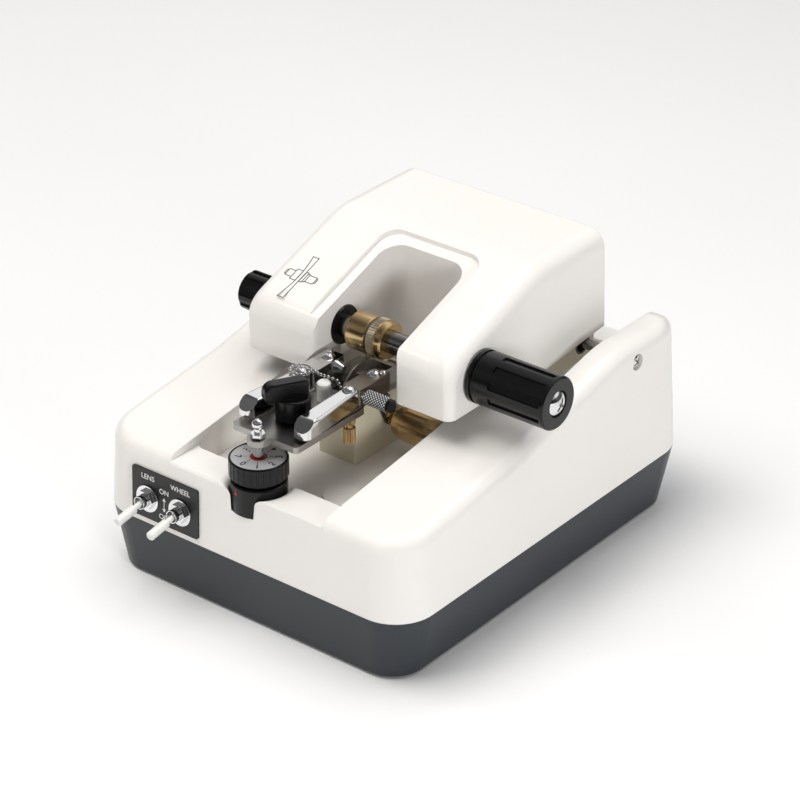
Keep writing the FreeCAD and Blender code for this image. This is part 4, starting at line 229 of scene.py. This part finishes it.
def brown_steel():
    return finish("brown_steel", (0.235, 0.205, 0.175), 0.33, metallic=1.0, vary=0.14, patch=70.0,
                  grain=650.0, grain_depth=0.008 * MM, edge=0.25 * MM, stretch=(14.0, 1.0, 14.0))


def chrome():
    return finish("chrome", (0.78, 0.78, 0.78), 0.09, metallic=1.0, vary=0.04, patch=50.0, grain=900.0,
                  grain_depth=0.002 * MM, edge=0.25 * MM)


def brass():
    return finish("brass", (0.64, 0.45, 0.225), 0.22, metallic=1.0, vary=0.10, patch=110.0, grain=700.0,
                  grain_depth=0.006 * MM, edge=0.2 * MM, stretch=(16.0, 1.0, 1.0))


def pale_brass():
    return finish("pale_brass", (0.74, 0.63, 0.45), 0.38, metallic=1.0, vary=0.10, patch=200.0, grain=900.0,
                  grain_depth=0.01 * MM, edge=0.15 * MM)


def cream_plastic():
    return finish("cream_plastic", (0.70, 0.64, 0.49), 0.42, vary=0.05, patch=50.0, grain=1200.0,
                  grain_depth=0.01 * MM, edge=0.3 * MM)


def nylon():
    material = finish("nylon", (0.78, 0.78, 0.75), 0.30, vary=0.03, patch=150.0, grain=1500.0,
                      grain_depth=0.006 * MM, edge=0.2 * MM, coat=0.2)
    shader = material.node_tree.nodes["Principled BSDF"]
    shader.inputs["Subsurface Weight"].default_value = 0.4
    shader.inputs["Subsurface Radius"].default_value = (1.0, 0.9, 0.8)
    shader.inputs["Subsurface Scale"].default_value = 1.0 * MM
    return material


def red_plastic():
    return finish("red_plastic", (0.20, 0.008, 0.008), 0.3, vary=0.1, patch=200.0, grain=2000.0, coat=0.3)


def dial_silver():
    return finish("dial_silver", (0.46, 0.46, 0.47), 0.42, metallic=0.4, vary=0.06, patch=200.0, grain=1500.0,
                  grain_depth=0.004 * MM, edge=0.1 * MM)


def diamond_grit():
    return finish("diamond_grit", (0.30, 0.29, 0.27), 0.42, metallic=0.9, vary=0.25, patch=900.0,
                  grain=5000.0, grain_depth=0.05 * MM, edge=0.1 * MM)


KNURL_PITCH = 1.5 * MM
KNURL_DEPTH = 0.12 * MM
KNURL_RELIEF = 0.8
# painted shade for the bottoms of the cuts, and the crests' bright metal with a painted highlight on it
KNURL_PAINTED_SHADE = (0.03, 0.03, 0.03)
KNURL_CREST_HIGHLIGHT = (0.95, 0.95, 0.95)
KNURL_SHADE_END = 0.22       # heights, from 0 to 1, at which the painted shade of a cut's bottom ends and the painted highlight of a crest starts
KNURL_HIGHLIGHT_START = 0.60
KNURL_METAL = 0.5
KNURL_SMOOTHEST = 0.16
KNURL_ROUGHEST = 0.26
KNURL_GRAIN = 900.0
KNURL_EDGE = 0.15 * MM


def knurled_chrome():
    """Metal with crossed cuts round the X axis of a screw, with painted shade in their bottoms and a painted
    highlight on their crests.
    """
    material, tree, shader = new_material("knurled_chrome")
    place = tree.nodes.new("ShaderNodeTexCoord")
    heights = []
    turns = 2 * math.pi / KNURL_PITCH
    for hand in (1.0, -1.0):
        turn = tree.nodes.new("ShaderNodeMapping")
        turn.inputs["Location"].default_value = (0.0, -KNURL_CENTRE_Y, -KNURL_CENTRE_Z)
        tree.links.new(place.outputs["Object"], turn.inputs["Vector"])
        split = tree.nodes.new("ShaderNodeSeparateXYZ")
        tree.links.new(turn.outputs["Vector"], split.inputs["Vector"])
        around = tree.nodes.new("ShaderNodeMath")
        around.operation = "ARCTAN2"
        tree.links.new(split.outputs["Y"], around.inputs[0])
        tree.links.new(split.outputs["Z"], around.inputs[1])
        arc = maths(tree, "MULTIPLY", around.outputs["Value"], KNURL_RADIUS * turns)
        along = maths(tree, "MULTIPLY", split.outputs["X"], hand * turns)
        total = tree.nodes.new("ShaderNodeMath")
        tree.links.new(arc, total.inputs[0])
        tree.links.new(along, total.inputs[1])
        heights.append(maths(tree, "SINE", total.outputs["Value"], 0.0))
    low = tree.nodes.new("ShaderNodeMath")
    low.operation = "MINIMUM"
    tree.links.new(heights[0], low.inputs[0])
    tree.links.new(heights[1], low.inputs[1])
    height = halved(tree, low.outputs["Value"])
    # base colour goes from painted shade in the cuts' bottoms to a painted highlight on the crests
    colour = ramp(tree, height, KNURL_PAINTED_SHADE, KNURL_CREST_HIGHLIGHT, KNURL_SHADE_END, KNURL_HIGHLIGHT_START)
    tree.links.new(colour, shader.inputs["Base Color"])
    shader.inputs["Metallic"].default_value = KNURL_METAL
    roughness = spread(tree, noise(tree, KNURL_GRAIN), KNURL_SMOOTHEST, KNURL_ROUGHEST)
    tree.links.new(roughness, shader.inputs["Roughness"])
    normal = bumps(tree, low.outputs["Value"], KNURL_RELIEF, KNURL_DEPTH, soft_edges(tree, KNURL_EDGE))
    tree.links.new(normal, shader.inputs["Normal"])
    return material


def ink(name, colour):
    """Printing ink."""
    return finish(name, colour, 0.5, vary=0.1, patch=300.0, grain=2500.0, edge=0.02 * MM)


WHITE = shell_white()
GREY = tray_grey()
BLACK = black_plastic()
PANEL = panel_black()
RUBBER = foot_rubber()
PAD = pad_rubber()
STEEL = steel()
PLATE = plate_steel()
BROWN = brown_steel()
CHROME = chrome()
KNURL = knurled_chrome()
BRASS = brass()
PALE_BRASS = pale_brass()
CREAM = cream_plastic()
NYLON = nylon()
RED = red_plastic()
SILVER = dial_silver()
GRIT = diamond_grit()
WHITE_INK = ink("white_ink", (0.80, 0.80, 0.78))
BLACK_INK = ink("black_ink", (0.015, 0.015, 0.015))
RED_INK = ink("red_ink", (0.60, 0.02, 0.02))

FINISHES = {
    WHITE: ["upper_housing", "head_cover"],
    GREY: ["base_tray"],
    PANEL: ["switch_plate"],
    BLACK: ["power_inlet", "clamp_knob", "left_knob", "mode_knob", "dial_base", "depth_knob", "left_flange",
            "right_flange", "shaft_bushes", "hinge_bushes", "transformer", "lens_motor"],
    RUBBER: ["rubber_feet", "drive_belt"],
    PAD: ["left_pad", "right_pad"],
    STEEL: ["base_screws", "hinge_shaft", "left_shaft", "right_shaft", "clamp_sleeve", "wheel_bearings",
            "wheel_spindle", "stage_pivot_pin"],
    PLATE: ["stage_plate"],
    BROWN: ["right_guide_block"],
    CHROME: ["left_guide_block", "switch_bodies", "switch_washers", "switch_nuts", "hinge_screws",
             "clamp_knob_screw", "right_handle", "left_handle", "right_guide_screws", "left_guide_screws",
             "guide_pivot_screws", "bead_chain", "groove_adjuster", "depth_rod", "depth_nut"],
    BRASS: ["left_chuck", "right_chuck", "wheel_motor", "motor_pulley", "lens_pinion", "pivot_nuts"],
    CREAM: ["head_frame", "wheel_housing"],
    NYLON: ["lens_switch_lever", "wheel_switch_lever", "nylon_post", "lens_gear"],
    RED: ["dial_hub"],
    SILVER: ["dial_face"],
    GRIT: ["grooving_wheel"],
}

# Shading of the CAD pieces

SHARP_ANGLE = math.radians(32)
WELD_DISTANCE = 0.001 * MM
NORMAL_WEIGHT = 50


def smooth(obj):
    """Joins the faces of a CAD piece, keeps its sharp edges sharp and shades the rest smooth."""
    custom = obj.data.attributes.get("custom_normal")
    if custom is not None:
        obj.data.attributes.remove(custom)
    obj.data.polygons.foreach_set("use_smooth", [True] * len(obj.data.polygons))
    weld = obj.modifiers.new("weld", "WELD")
    weld.merge_threshold = WELD_DISTANCE
    split = obj.modifiers.new("split", "EDGE_SPLIT")
    split.split_angle = SHARP_ANGLE
    split.use_edge_sharp = False
    weighted = obj.modifiers.new("weighted", "WEIGHTED_NORMAL")
    weighted.weight = NORMAL_WEIGHT


def dress():
    """Gives each CAD piece its finish."""
    for material, names in FINISHES.items():
        for name in names:
            obj = NODES[name]
            obj.data.materials.clear()
            obj.data.materials.append(material)
            smooth(obj)


def second_material(obj, material, belongs):
    """Gives another material to the faces whose centres pass a test."""
    obj.data.materials.append(material)
    for face in obj.data.polygons:
        if belongs(face.center):
            face.material_index = len(obj.data.materials) - 1


def dress_details():
    """Second finishes on parts of a piece."""
    adjuster = NODES["groove_adjuster"]
    second_material(adjuster, KNURL, lambda at: KNURL_START_X < at.x < KNURL_CAP_X)
    second_material(adjuster, BLACK, lambda at: at.x > KNURL_CAP_X)
    second_material(NODES["right_chuck"], PALE_BRASS, lambda at: at.x < CHUCK_RING_END_X)


# Small building blocks


def mesh_piece(name, vertices, faces, material, body):
    """A mesh that rides on a body."""
    mesh = bpy.data.meshes.new(name)
    mesh.from_pydata(vertices, [], faces)
    mesh.materials.append(material)
    obj = bpy.data.objects.new(name, mesh)
    bpy.context.scene.collection.objects.link(obj)
    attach(obj, body)
    return obj


def line_mark(name, points, width, place, material, body, closed=False):
    """A printed line of even width through 2D points, laid on a surface by a matrix."""
    vertices, faces = [], []
    count = len(points)
    runs = count if closed else count - 1
    for i in range(runs):
        a = Vector(points[i])
        b = Vector(points[(i + 1) % count])
        along = (b - a).normalized() * (width / 2)
        side = Vector((-along.y, along.x))
        start = len(vertices)
        for corner in (a - along - side, b + along - side, b + along + side, a - along + side):
            vertices.append(place @ Vector((corner.x, corner.y, PLANE_LIFT)))
        faces.append((start, start + 1, start + 2, start + 3))
    return mesh_piece(name, vertices, faces, material, body)


def filled_mark(name, points, place, material, body):
    """A printed solid shape with its outline through 2D points."""
    vertices = [place @ Vector((x, y, PLANE_LIFT)) for x, y in points]
    return mesh_piece(name, vertices, [tuple(range(len(points)))], material, body)


def lettering(name, words, size, place, material, body, bold=0.0):
    """Words centred on the origin of a matrix."""
    curve = bpy.data.curves.new(name, "FONT")
    curve.body = words
    curve.size = size
    curve.align_x = "CENTER"
    curve.align_y = "CENTER"
    curve.offset = bold
    curve.materials.append(material)
    obj = bpy.data.objects.new(name, curve)
    bpy.context.scene.collection.objects.link(obj)
    obj.matrix_world = place @ Matrix.Translation((0, 0, PLANE_LIFT))
    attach(obj, body)
    return obj


def frame_at(origin, right, up):
    """A matrix whose x runs right, y runs up and z stands off the surface."""
    x = Vector(right).normalized()
    z = x.cross(Vector(up)).normalized()
    y = z.cross(x)
    return Matrix.Translation(origin) @ Matrix((x, y, z)).transposed().to_4x4()


# Marks on the depth dial

DIAL_NUMBERS = 8
DIAL_ZERO_ANGLE = math.radians(262)
DIAL_NUMBER_PLACE = 0.74
DIAL_NUMBER_SIZE = 4.3 * MM
DIAL_NUMBER_BOLD = 0.10 * MM
DIAL_TICK_START = 0.40
DIAL_TICK_END = 0.56
DIAL_TICK_WIDTH = 0.32 * MM


def make_dial_marks():
    """The numbers and ticks on the dial's disc."""
    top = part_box("dial_face")[1].z
    centre = Vector((DIAL_X, DIAL_Y, top))
    step = 2 * math.pi / DIAL_NUMBERS
    vertices, faces = [], []
    for number in range(DIAL_NUMBERS):
        angle = DIAL_ZERO_ANGLE + number * step
        out = Vector((math.cos(angle), math.sin(angle), 0))
        origin = centre + out * (DIAL_FACE_RADIUS * DIAL_NUMBER_PLACE)
        place = frame_at(origin, (-out.y, out.x, 0), -out)
        lettering(f"dial_number_{number}", str(number), DIAL_NUMBER_SIZE, place, BLACK_INK, "depth_dial",
                  DIAL_NUMBER_BOLD)
        side = Vector((-out.y, out.x, 0)) * (DIAL_TICK_WIDTH / 2)
        inner = centre + out * (DIAL_FACE_RADIUS * DIAL_TICK_START) + Vector((0, 0, PLANE_LIFT))
        outer = centre + out * (DIAL_FACE_RADIUS * DIAL_TICK_END) + Vector((0, 0, PLANE_LIFT))
        start = len(vertices)
        vertices += [inner - side, outer - side, outer + side, inner + side]
        faces.append((start, start + 1, start + 2, start + 3))
    mesh_piece("dial_ticks", vertices, faces, BLACK_INK, "depth_dial")


ARROW_ANGLE = math.radians(258)
ARROW_BASE_RADIUS = 12.45 * MM
ARROW_Z = 64.4 * MM
ARROW_HALF_WIDTH = 0.9 * MM
ARROW_HEIGHT = 2.6 * MM


def make_dial_arrow():
    """The red pointer on the side of the dial's base."""
    out = Vector((math.cos(ARROW_ANGLE), math.sin(ARROW_ANGLE), 0))
    origin = Vector((DIAL_X, DIAL_Y, ARROW_Z)) + out * ARROW_BASE_RADIUS
    place = frame_at(origin, (-out.y, out.x, 0), (0, 0, 1))
    arrow = [(-ARROW_HALF_WIDTH, 0.0), (ARROW_HALF_WIDTH, 0.0), (0.0, ARROW_HEIGHT)]
    filled_mark("dial_pointer", arrow, place, RED_INK, "base")


# Switch panel

PANEL_SLOPE = 0.044
PANEL_FRONT_Y = -108.43 * MM
PANEL_Z = 46.0 * MM
LENS_SWITCH_X = -54.6 * MM
WHEEL_SWITCH_X = -35.6 * MM
PANEL_WORD_SIZE = 3.5 * MM
PANEL_WORD_BOLD = 0.04 * MM
PANEL_NAMES_Z = 54.6 * MM
PANEL_ON_Z = 50.4 * MM
PANEL_OFF_Z = 38.0 * MM
PANEL_ARROW_Z = 44.2 * MM
PANEL_SHAFT_HALF_WIDTH = 0.2 * MM
PANEL_SHAFT_HALF_LENGTH = 2.0 * MM
PANEL_TIP_HALF_WIDTH = 1.0 * MM
PANEL_TIP_LENGTH = 1.7 * MM
PANEL_TIP_PLACE = 1.9 * MM      # from the middle of the shaft to the foot of a tip


def panel_place(x, z):
    """A matrix on the face of the switch panel."""
    y = PANEL_FRONT_Y + (z - PANEL_Z) * PANEL_SLOPE
    return frame_at((x, y, z), (1, 0, 0), (0, PANEL_SLOPE, 1))


def panel_word(name, words, x, z):
    """A word printed on the panel."""
    lettering(name, words, PANEL_WORD_SIZE, panel_place(x, z), WHITE_INK, "base",
              PANEL_WORD_BOLD)


def panel_shape(name, points, place):
    """A solid shape printed on the panel."""
    filled_mark(name, points, place, WHITE_INK, "base")


def make_panel_marks():
    """The words beside the switches, and an arrow with two tips between ON and OFF."""
    middle_x = (LENS_SWITCH_X + WHEEL_SWITCH_X) / 2
    panel_word("panel_lens", "LENS", LENS_SWITCH_X, PANEL_NAMES_Z)
    panel_word("panel_wheel", "WHEEL", WHEEL_SWITCH_X, PANEL_NAMES_Z)
    panel_word("panel_on", "ON", middle_x, PANEL_ON_Z)
    panel_word("panel_off", "OFF", middle_x, PANEL_OFF_Z)
    side = PANEL_SHAFT_HALF_WIDTH
    end = PANEL_SHAFT_HALF_LENGTH
    shaft = [(-side, -end), (side, -end), (side, end), (-side, end)]
    tip = [(-PANEL_TIP_HALF_WIDTH, 0.0), (PANEL_TIP_HALF_WIDTH, 0.0), (0.0, PANEL_TIP_LENGTH)]
    place = panel_place(middle_x, PANEL_ARROW_Z)
    above = place @ Matrix.Translation((0, PANEL_TIP_PLACE, 0))
    below = place @ Matrix.Translation((0, -PANEL_TIP_PLACE, 0)) @ Matrix.Rotation(math.pi, 4, "Z")
    panel_shape("panel_arrow_shaft", shaft, place)
    panel_shape("panel_arrow_up", tip, above)
    panel_shape("panel_arrow_down", tip, below)


# Sign on the left of the roof: a lens held between two chucks

ROOF_SLOPE = 0.367
ROOF_TOP_Z = 139.0 * MM
ROOF_BEND_Y = 24.0 * MM
SIGN_X = -40.0 * MM
SIGN_Y = -21.2 * MM
SIGN_LINE = 0.42 * MM
SIGN_LENS_HALF = 13.4 * MM
SIGN_LENS_EDGE = 0.85 * MM      # from the middle of the sign to the lens's flat side
SIGN_LENS_HOLLOW = 1.7 * MM     # how much the ends stick out past the middle on the other side
SIGN_LENS_STEPS = 4             # points on each half of the hollow side
SIGN_CHUCK_RISE = 0.9 * MM
# Start, end and half height of each block of the two chucks, in millimetres outwards from the lens
SIGN_LEFT_BLOCKS = [(1.0, 4.2, 3.2), (4.2, 7.8, 1.95), (7.8, 8.6, 1.2)]
SIGN_RIGHT_BLOCKS = [(1.0, 2.4, 3.1), (2.4, 3.6, 2.4), (3.6, 8.0, 2.05), (8.0, 8.8, 1.2)]


def make_roof_sign():
    """The outlines of a hollow lens and of the two chucks that hold it."""
    z = ROOF_TOP_Z - ROOF_SLOPE * (ROOF_BEND_Y - SIGN_Y)
    place = frame_at((SIGN_X, SIGN_Y, z), (1, 0, 0), (0, 1, ROOF_SLOPE))
    lens = [(SIGN_LENS_EDGE, -SIGN_LENS_HALF), (SIGN_LENS_EDGE, SIGN_LENS_HALF)]
    for i in range(2 * SIGN_LENS_STEPS + 1):
        t = 1.0 - i / SIGN_LENS_STEPS
        lens.append((-SIGN_LENS_EDGE - SIGN_LENS_HOLLOW * t * t, SIGN_LENS_HALF * t))
    line_mark("sign_lens", lens, SIGN_LINE, place, BLACK_INK, "head", closed=True)
    for side, blocks in ((-1, SIGN_LEFT_BLOCKS), (1, SIGN_RIGHT_BLOCKS)):
        for number, (start, end, half) in enumerate(blocks):
            low = SIGN_CHUCK_RISE - half * MM
            high = SIGN_CHUCK_RISE + half * MM
            near = side * start * MM
            far = side * end * MM
            outline = [(near, low), (far, low), (far, high), (near, high)]
            name = f"sign_chuck_{'right' if side > 0 else 'left'}_{number}"
            line_mark(name, outline, SIGN_LINE, place, BLACK_INK, "head", closed=True)


# Bead chain

CHAIN_RING_START = -80      # degrees, clockwise seen from above
CHAIN_RING_STOP = 290
CHAIN_RING_STEP = 20


def chain_points():
    """The chain's route: most of a ring round the left pivot screw, then over the post."""
    points = []
    for degrees in range(CHAIN_RING_START, CHAIN_RING_STOP, CHAIN_RING_STEP):
        angle = math.radians(-degrees)
        x = -GUIDE_PIVOT_X + CHAIN_LOOP_RADIUS * math.cos(angle)
        y = GUIDE_PIVOT_Y + CHAIN_LOOP_RADIUS * math.sin(angle)
        points.append(Vector((x, y, CHAIN_Z)))
    z = CHAIN_Z
    points += [Vector((-POST_RADIUS - 2.6 * MM, POST_Y + 2.0 * MM, z + 0.4 * MM)),
               Vector((-POST_RADIUS / 2, POST_Y + 1.2 * MM, z + 0.9 * MM)),
               Vector((POST_RADIUS / 2, POST_Y + 1.6 * MM, z + 0.9 * MM)),
               Vector((POST_RADIUS + 1.6 * MM, POST_Y + 3.4 * MM, z - 0.6 * MM)),
               Vector((POST_RADIUS + 2.2 * MM, POST_Y + 5.0 * MM, z - 4.4 * MM)),
               Vector((POST_RADIUS + 2.0 * MM, POST_Y + 5.4 * MM, STAGE_TOP_Z + 0.8 * MM))]
    return points


def evenly(points, pitch):
    """Points at an even pitch along a route."""
    places = [points[0].copy()]
    carried = 0.0
    for a, b in zip(points, points[1:]):
        length = (b - a).length
        along = pitch - carried
        while along <= length:
            places.append(a + (b - a) * (along / length))
            along += pitch
        carried = length - (along - pitch)
    return places


def ball(centre, radius, rings=6, sides=10):
    """Vertices and faces of a small ball."""
    vertices = [centre + Vector((0, 0, radius))]
    for i in range(1, rings):
        polar = math.pi * i / rings
        for k in range(sides):
            turn = 2 * math.pi * k / sides
            level = math.sin(polar)
            out = Vector((level * math.cos(turn), level * math.sin(turn), math.cos(polar)))
            vertices.append(centre + radius * out)
    vertices.append(centre - Vector((0, 0, radius)))
    faces = []
    for k in range(sides):
        following = (k + 1) % sides
        faces.append((0, 1 + k, 1 + following))
        for i in range(rings - 2):
            row = 1 + i * sides
            faces.append((row + k, row + sides + k, row + sides + following, row + following))
        row = 1 + (rings - 2) * sides
        faces.append((row + k, len(vertices) - 1, row + following))
    return vertices, faces


def make_bead_chain():
    """The beads and the links between them, in place of the plain ring."""
    places = evenly(chain_points(), BEAD_PITCH)
    vertices, faces = [], []
    for place in places:
        some, more = ball(place, BEAD_RADIUS)
        start = len(vertices)
        vertices += some
        faces += [tuple(start + i for i in face) for face in more]
    beads = mesh_piece("chain_beads", vertices, faces, CHROME, "stage")
    beads.data.polygons.foreach_set("use_smooth", [True] * len(beads.data.polygons))
    curve = bpy.data.curves.new("chain_links", "CURVE")
    curve.dimensions = "3D"
    curve.bevel_depth = LINK_RADIUS
    spline = curve.splines.new("POLY")
    spline.points.add(len(places) - 1)
    for point, place in zip(spline.points, places):
        point.co = (*place, 1.0)
    curve.materials.append(STEEL)
    links = bpy.data.objects.new("chain_links", curve)
    bpy.context.scene.collection.objects.link(links)
    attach(links, "stage")
    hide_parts("bead_chain")


# Room, lights and camera

FLOOR_SIZE = 6.0
FLOOR_DARK = (0.89, 0.89, 0.89)
FLOOR_LIGHT = (0.91, 0.91, 0.91)
FLOOR_PATCH = 3.0
FLOOR_ROUGHNESS = 0.9
CAMERA_PLACE = (0.7297, -0.9160, 0.7142)
CAMERA_LOOK = (-0.5451, 0.6840, -0.4847)
CAMERA_LENS = 134.34
SENSOR_WIDTH = 36.0
CLIP_START = 0.05
CLIP_END = 20.0


def make_floor():
    """A plain pale floor."""
    half = FLOOR_SIZE / 2
    mesh = bpy.data.meshes.new("floor")
    corners = [(-half, -half, 0), (half, -half, 0), (half, half, 0), (-half, half, 0)]
    mesh.from_pydata(corners, [], [(0, 1, 2, 3)])
    material, tree, shader = new_material("floor_white")
    pale = ramp(tree, noise(tree, FLOOR_PATCH), FLOOR_DARK, FLOOR_LIGHT)
    tree.links.new(pale, shader.inputs["Base Color"])
    shader.inputs["Roughness"].default_value = FLOOR_ROUGHNESS
    mesh.materials.append(material)
    floor = bpy.data.objects.new("floor", mesh)
    bpy.context.scene.collection.objects.link(floor)


AMBIENT = 0.25
MIRRORED = 1.0
# Brightness of the room as pairs of a place, from 0 to 1, and a grey
GLOW_UPWARDS = [(0.0, 0.55), (0.8, 1.0)]
MIRRORED_UPWARDS = [(0.0, 0.06), (0.28, 0.12), (0.40, 0.95), (0.62, 1.0), (0.76, 0.30), (0.92, 1.0)]
MIRRORED_REARWARDS = [(0.0, 0.30), (0.40, 0.20), (0.55, 0.45), (0.68, 1.0)]


def gradient(tree, factor, stops):
    """A colour ramp in greys, from places and brightnesses."""
    node = tree.nodes.new("ShaderNodeValToRGB")
    elements = node.color_ramp.elements
    while len(elements) < len(stops):
        elements.new(0.5)
    for element, (position, grey) in zip(elements, stops):
        element.position = position
        element.color = (grey, grey, grey, 1.0)
    tree.links.new(factor, node.inputs["Fac"])
    return node.outputs["Color"]


def background(tree, colour, strength):
    """A world shader of one strength, with its colour from a socket if there is one."""
    node = tree.nodes.new("ShaderNodeBackground")
    node.inputs["Strength"].default_value = strength
    if colour is not None:
        tree.links.new(colour, node.inputs["Color"])
    return node


def mixed(tree, factor, off, on):
    """One shader where a factor is 0 and another where it is 1."""
    node = tree.nodes.new("ShaderNodeMixShader")
    tree.links.new(factor, node.inputs["Fac"])
    tree.links.new(off, node.inputs[1])
    tree.links.new(on, node.inputs[2])
    return node.outputs["Shader"]


def make_world():
    """A pale studio: white behind the object, an even glow on it, and bright and dark bands in mirrors."""
    world = bpy.data.worlds.new("studio")
    bpy.context.scene.world = world
    world.use_nodes = True
    tree = world.node_tree
    tree.nodes.clear()
    output = tree.nodes.new("ShaderNodeOutputWorld")
    path = tree.nodes.new("ShaderNodeLightPath")
    place = tree.nodes.new("ShaderNodeTexCoord")
    split = tree.nodes.new("ShaderNodeSeparateXYZ")
    tree.links.new(place.outputs["Generated"], split.inputs["Vector"])
    white = background(tree, None, 1.0)
    white.inputs["Color"].default_value = (1.0, 1.0, 1.0, 1.0)
    glow = background(tree, gradient(tree, split.outputs["Z"], GLOW_UPWARDS), AMBIENT)
    height = gradient(tree, split.outputs["Z"], MIRRORED_UPWARDS)
    depth = gradient(tree, halved(tree, split.outputs["Y"]), MIRRORED_REARWARDS)
    bands = tree.nodes.new("ShaderNodeMix")
    bands.data_type = "RGBA"
    bands.blend_type = "MULTIPLY"
    bands.inputs["Factor"].default_value = 1.0
    tree.links.new(height, bands.inputs["A"])
    tree.links.new(depth, bands.inputs["B"])
    mirrored = background(tree, bands.outputs["Result"], MIRRORED)
    lit = mixed(tree, path.outputs["Is Glossy Ray"], glow.outputs["Background"],
                mirrored.outputs["Background"])
    seen = mixed(tree, path.outputs["Is Camera Ray"], lit, white.outputs["Background"])
    tree.links.new(seen, output.inputs["Surface"])


LIGHT_TARGET = (0.0, 0.0, 0.08)


def area_light(name, place, size, power, colour=(1.0, 1.0, 1.0)):
    """A flat lamp that points at the object."""
    data = bpy.data.lights.new(name, "AREA")
    data.shape = "RECTANGLE"
    data.size = size[0]
    data.size_y = size[1]
    data.energy = power
    data.color = colour
    lamp = bpy.data.objects.new(name, data)
    bpy.context.scene.collection.objects.link(lamp)
    lamp.location = place
    lamp.rotation_euler = (Vector(LIGHT_TARGET) - Vector(place)).to_track_quat("-Z", "Y").to_euler()
    return lamp


KEY_PLACE = (-0.50, -0.45, 1.65)
KEY_SIZE = (1.2, 1.2)
KEY_POWER = 24.0
KEY_COLOUR = (1.0, 0.985, 0.96)
FILL_PLACE = (1.5, -0.65, 0.42)
FILL_SIZE = (0.45, 0.35)
FILL_POWER = 11.0
TOP_PLACE = (0.1, 0.5, 1.6)
TOP_SIZE = (1.4, 0.9)
TOP_POWER = 7.5


def make_lights():
    """A key light from the left, a low fill light from the right and one above the rear."""
    key = area_light("key", KEY_PLACE, KEY_SIZE, KEY_POWER, KEY_COLOUR)
    fill = area_light("fill", FILL_PLACE, FILL_SIZE, FILL_POWER)
    for lamp in (key, fill):
        lamp.visible_glossy = False     # so that they don't burn out the chrome
    area_light("top", TOP_PLACE, TOP_SIZE, TOP_POWER)


def make_camera():
    """The camera at the photograph's place and angle."""
    data = bpy.data.cameras.new("camera")
    data.lens = CAMERA_LENS
    data.sensor_width = SENSOR_WIDTH
    data.clip_start = CLIP_START
    data.clip_end = CLIP_END
    camera = bpy.data.objects.new("camera", data)
    bpy.context.scene.collection.objects.link(camera)
    camera.location = CAMERA_PLACE
    camera.rotation_euler = Vector(CAMERA_LOOK).to_track_quat("-Z", "Y").to_euler()
    bpy.context.scene.camera = camera
    bpy.context.scene.view_settings.view_transform = "Standard"


dress()
dress_details()
make_dial_marks()
make_dial_arrow()
make_panel_marks()
make_roof_sign()
make_bead_chain()
make_floor()
make_world()
make_lights()
make_camera()
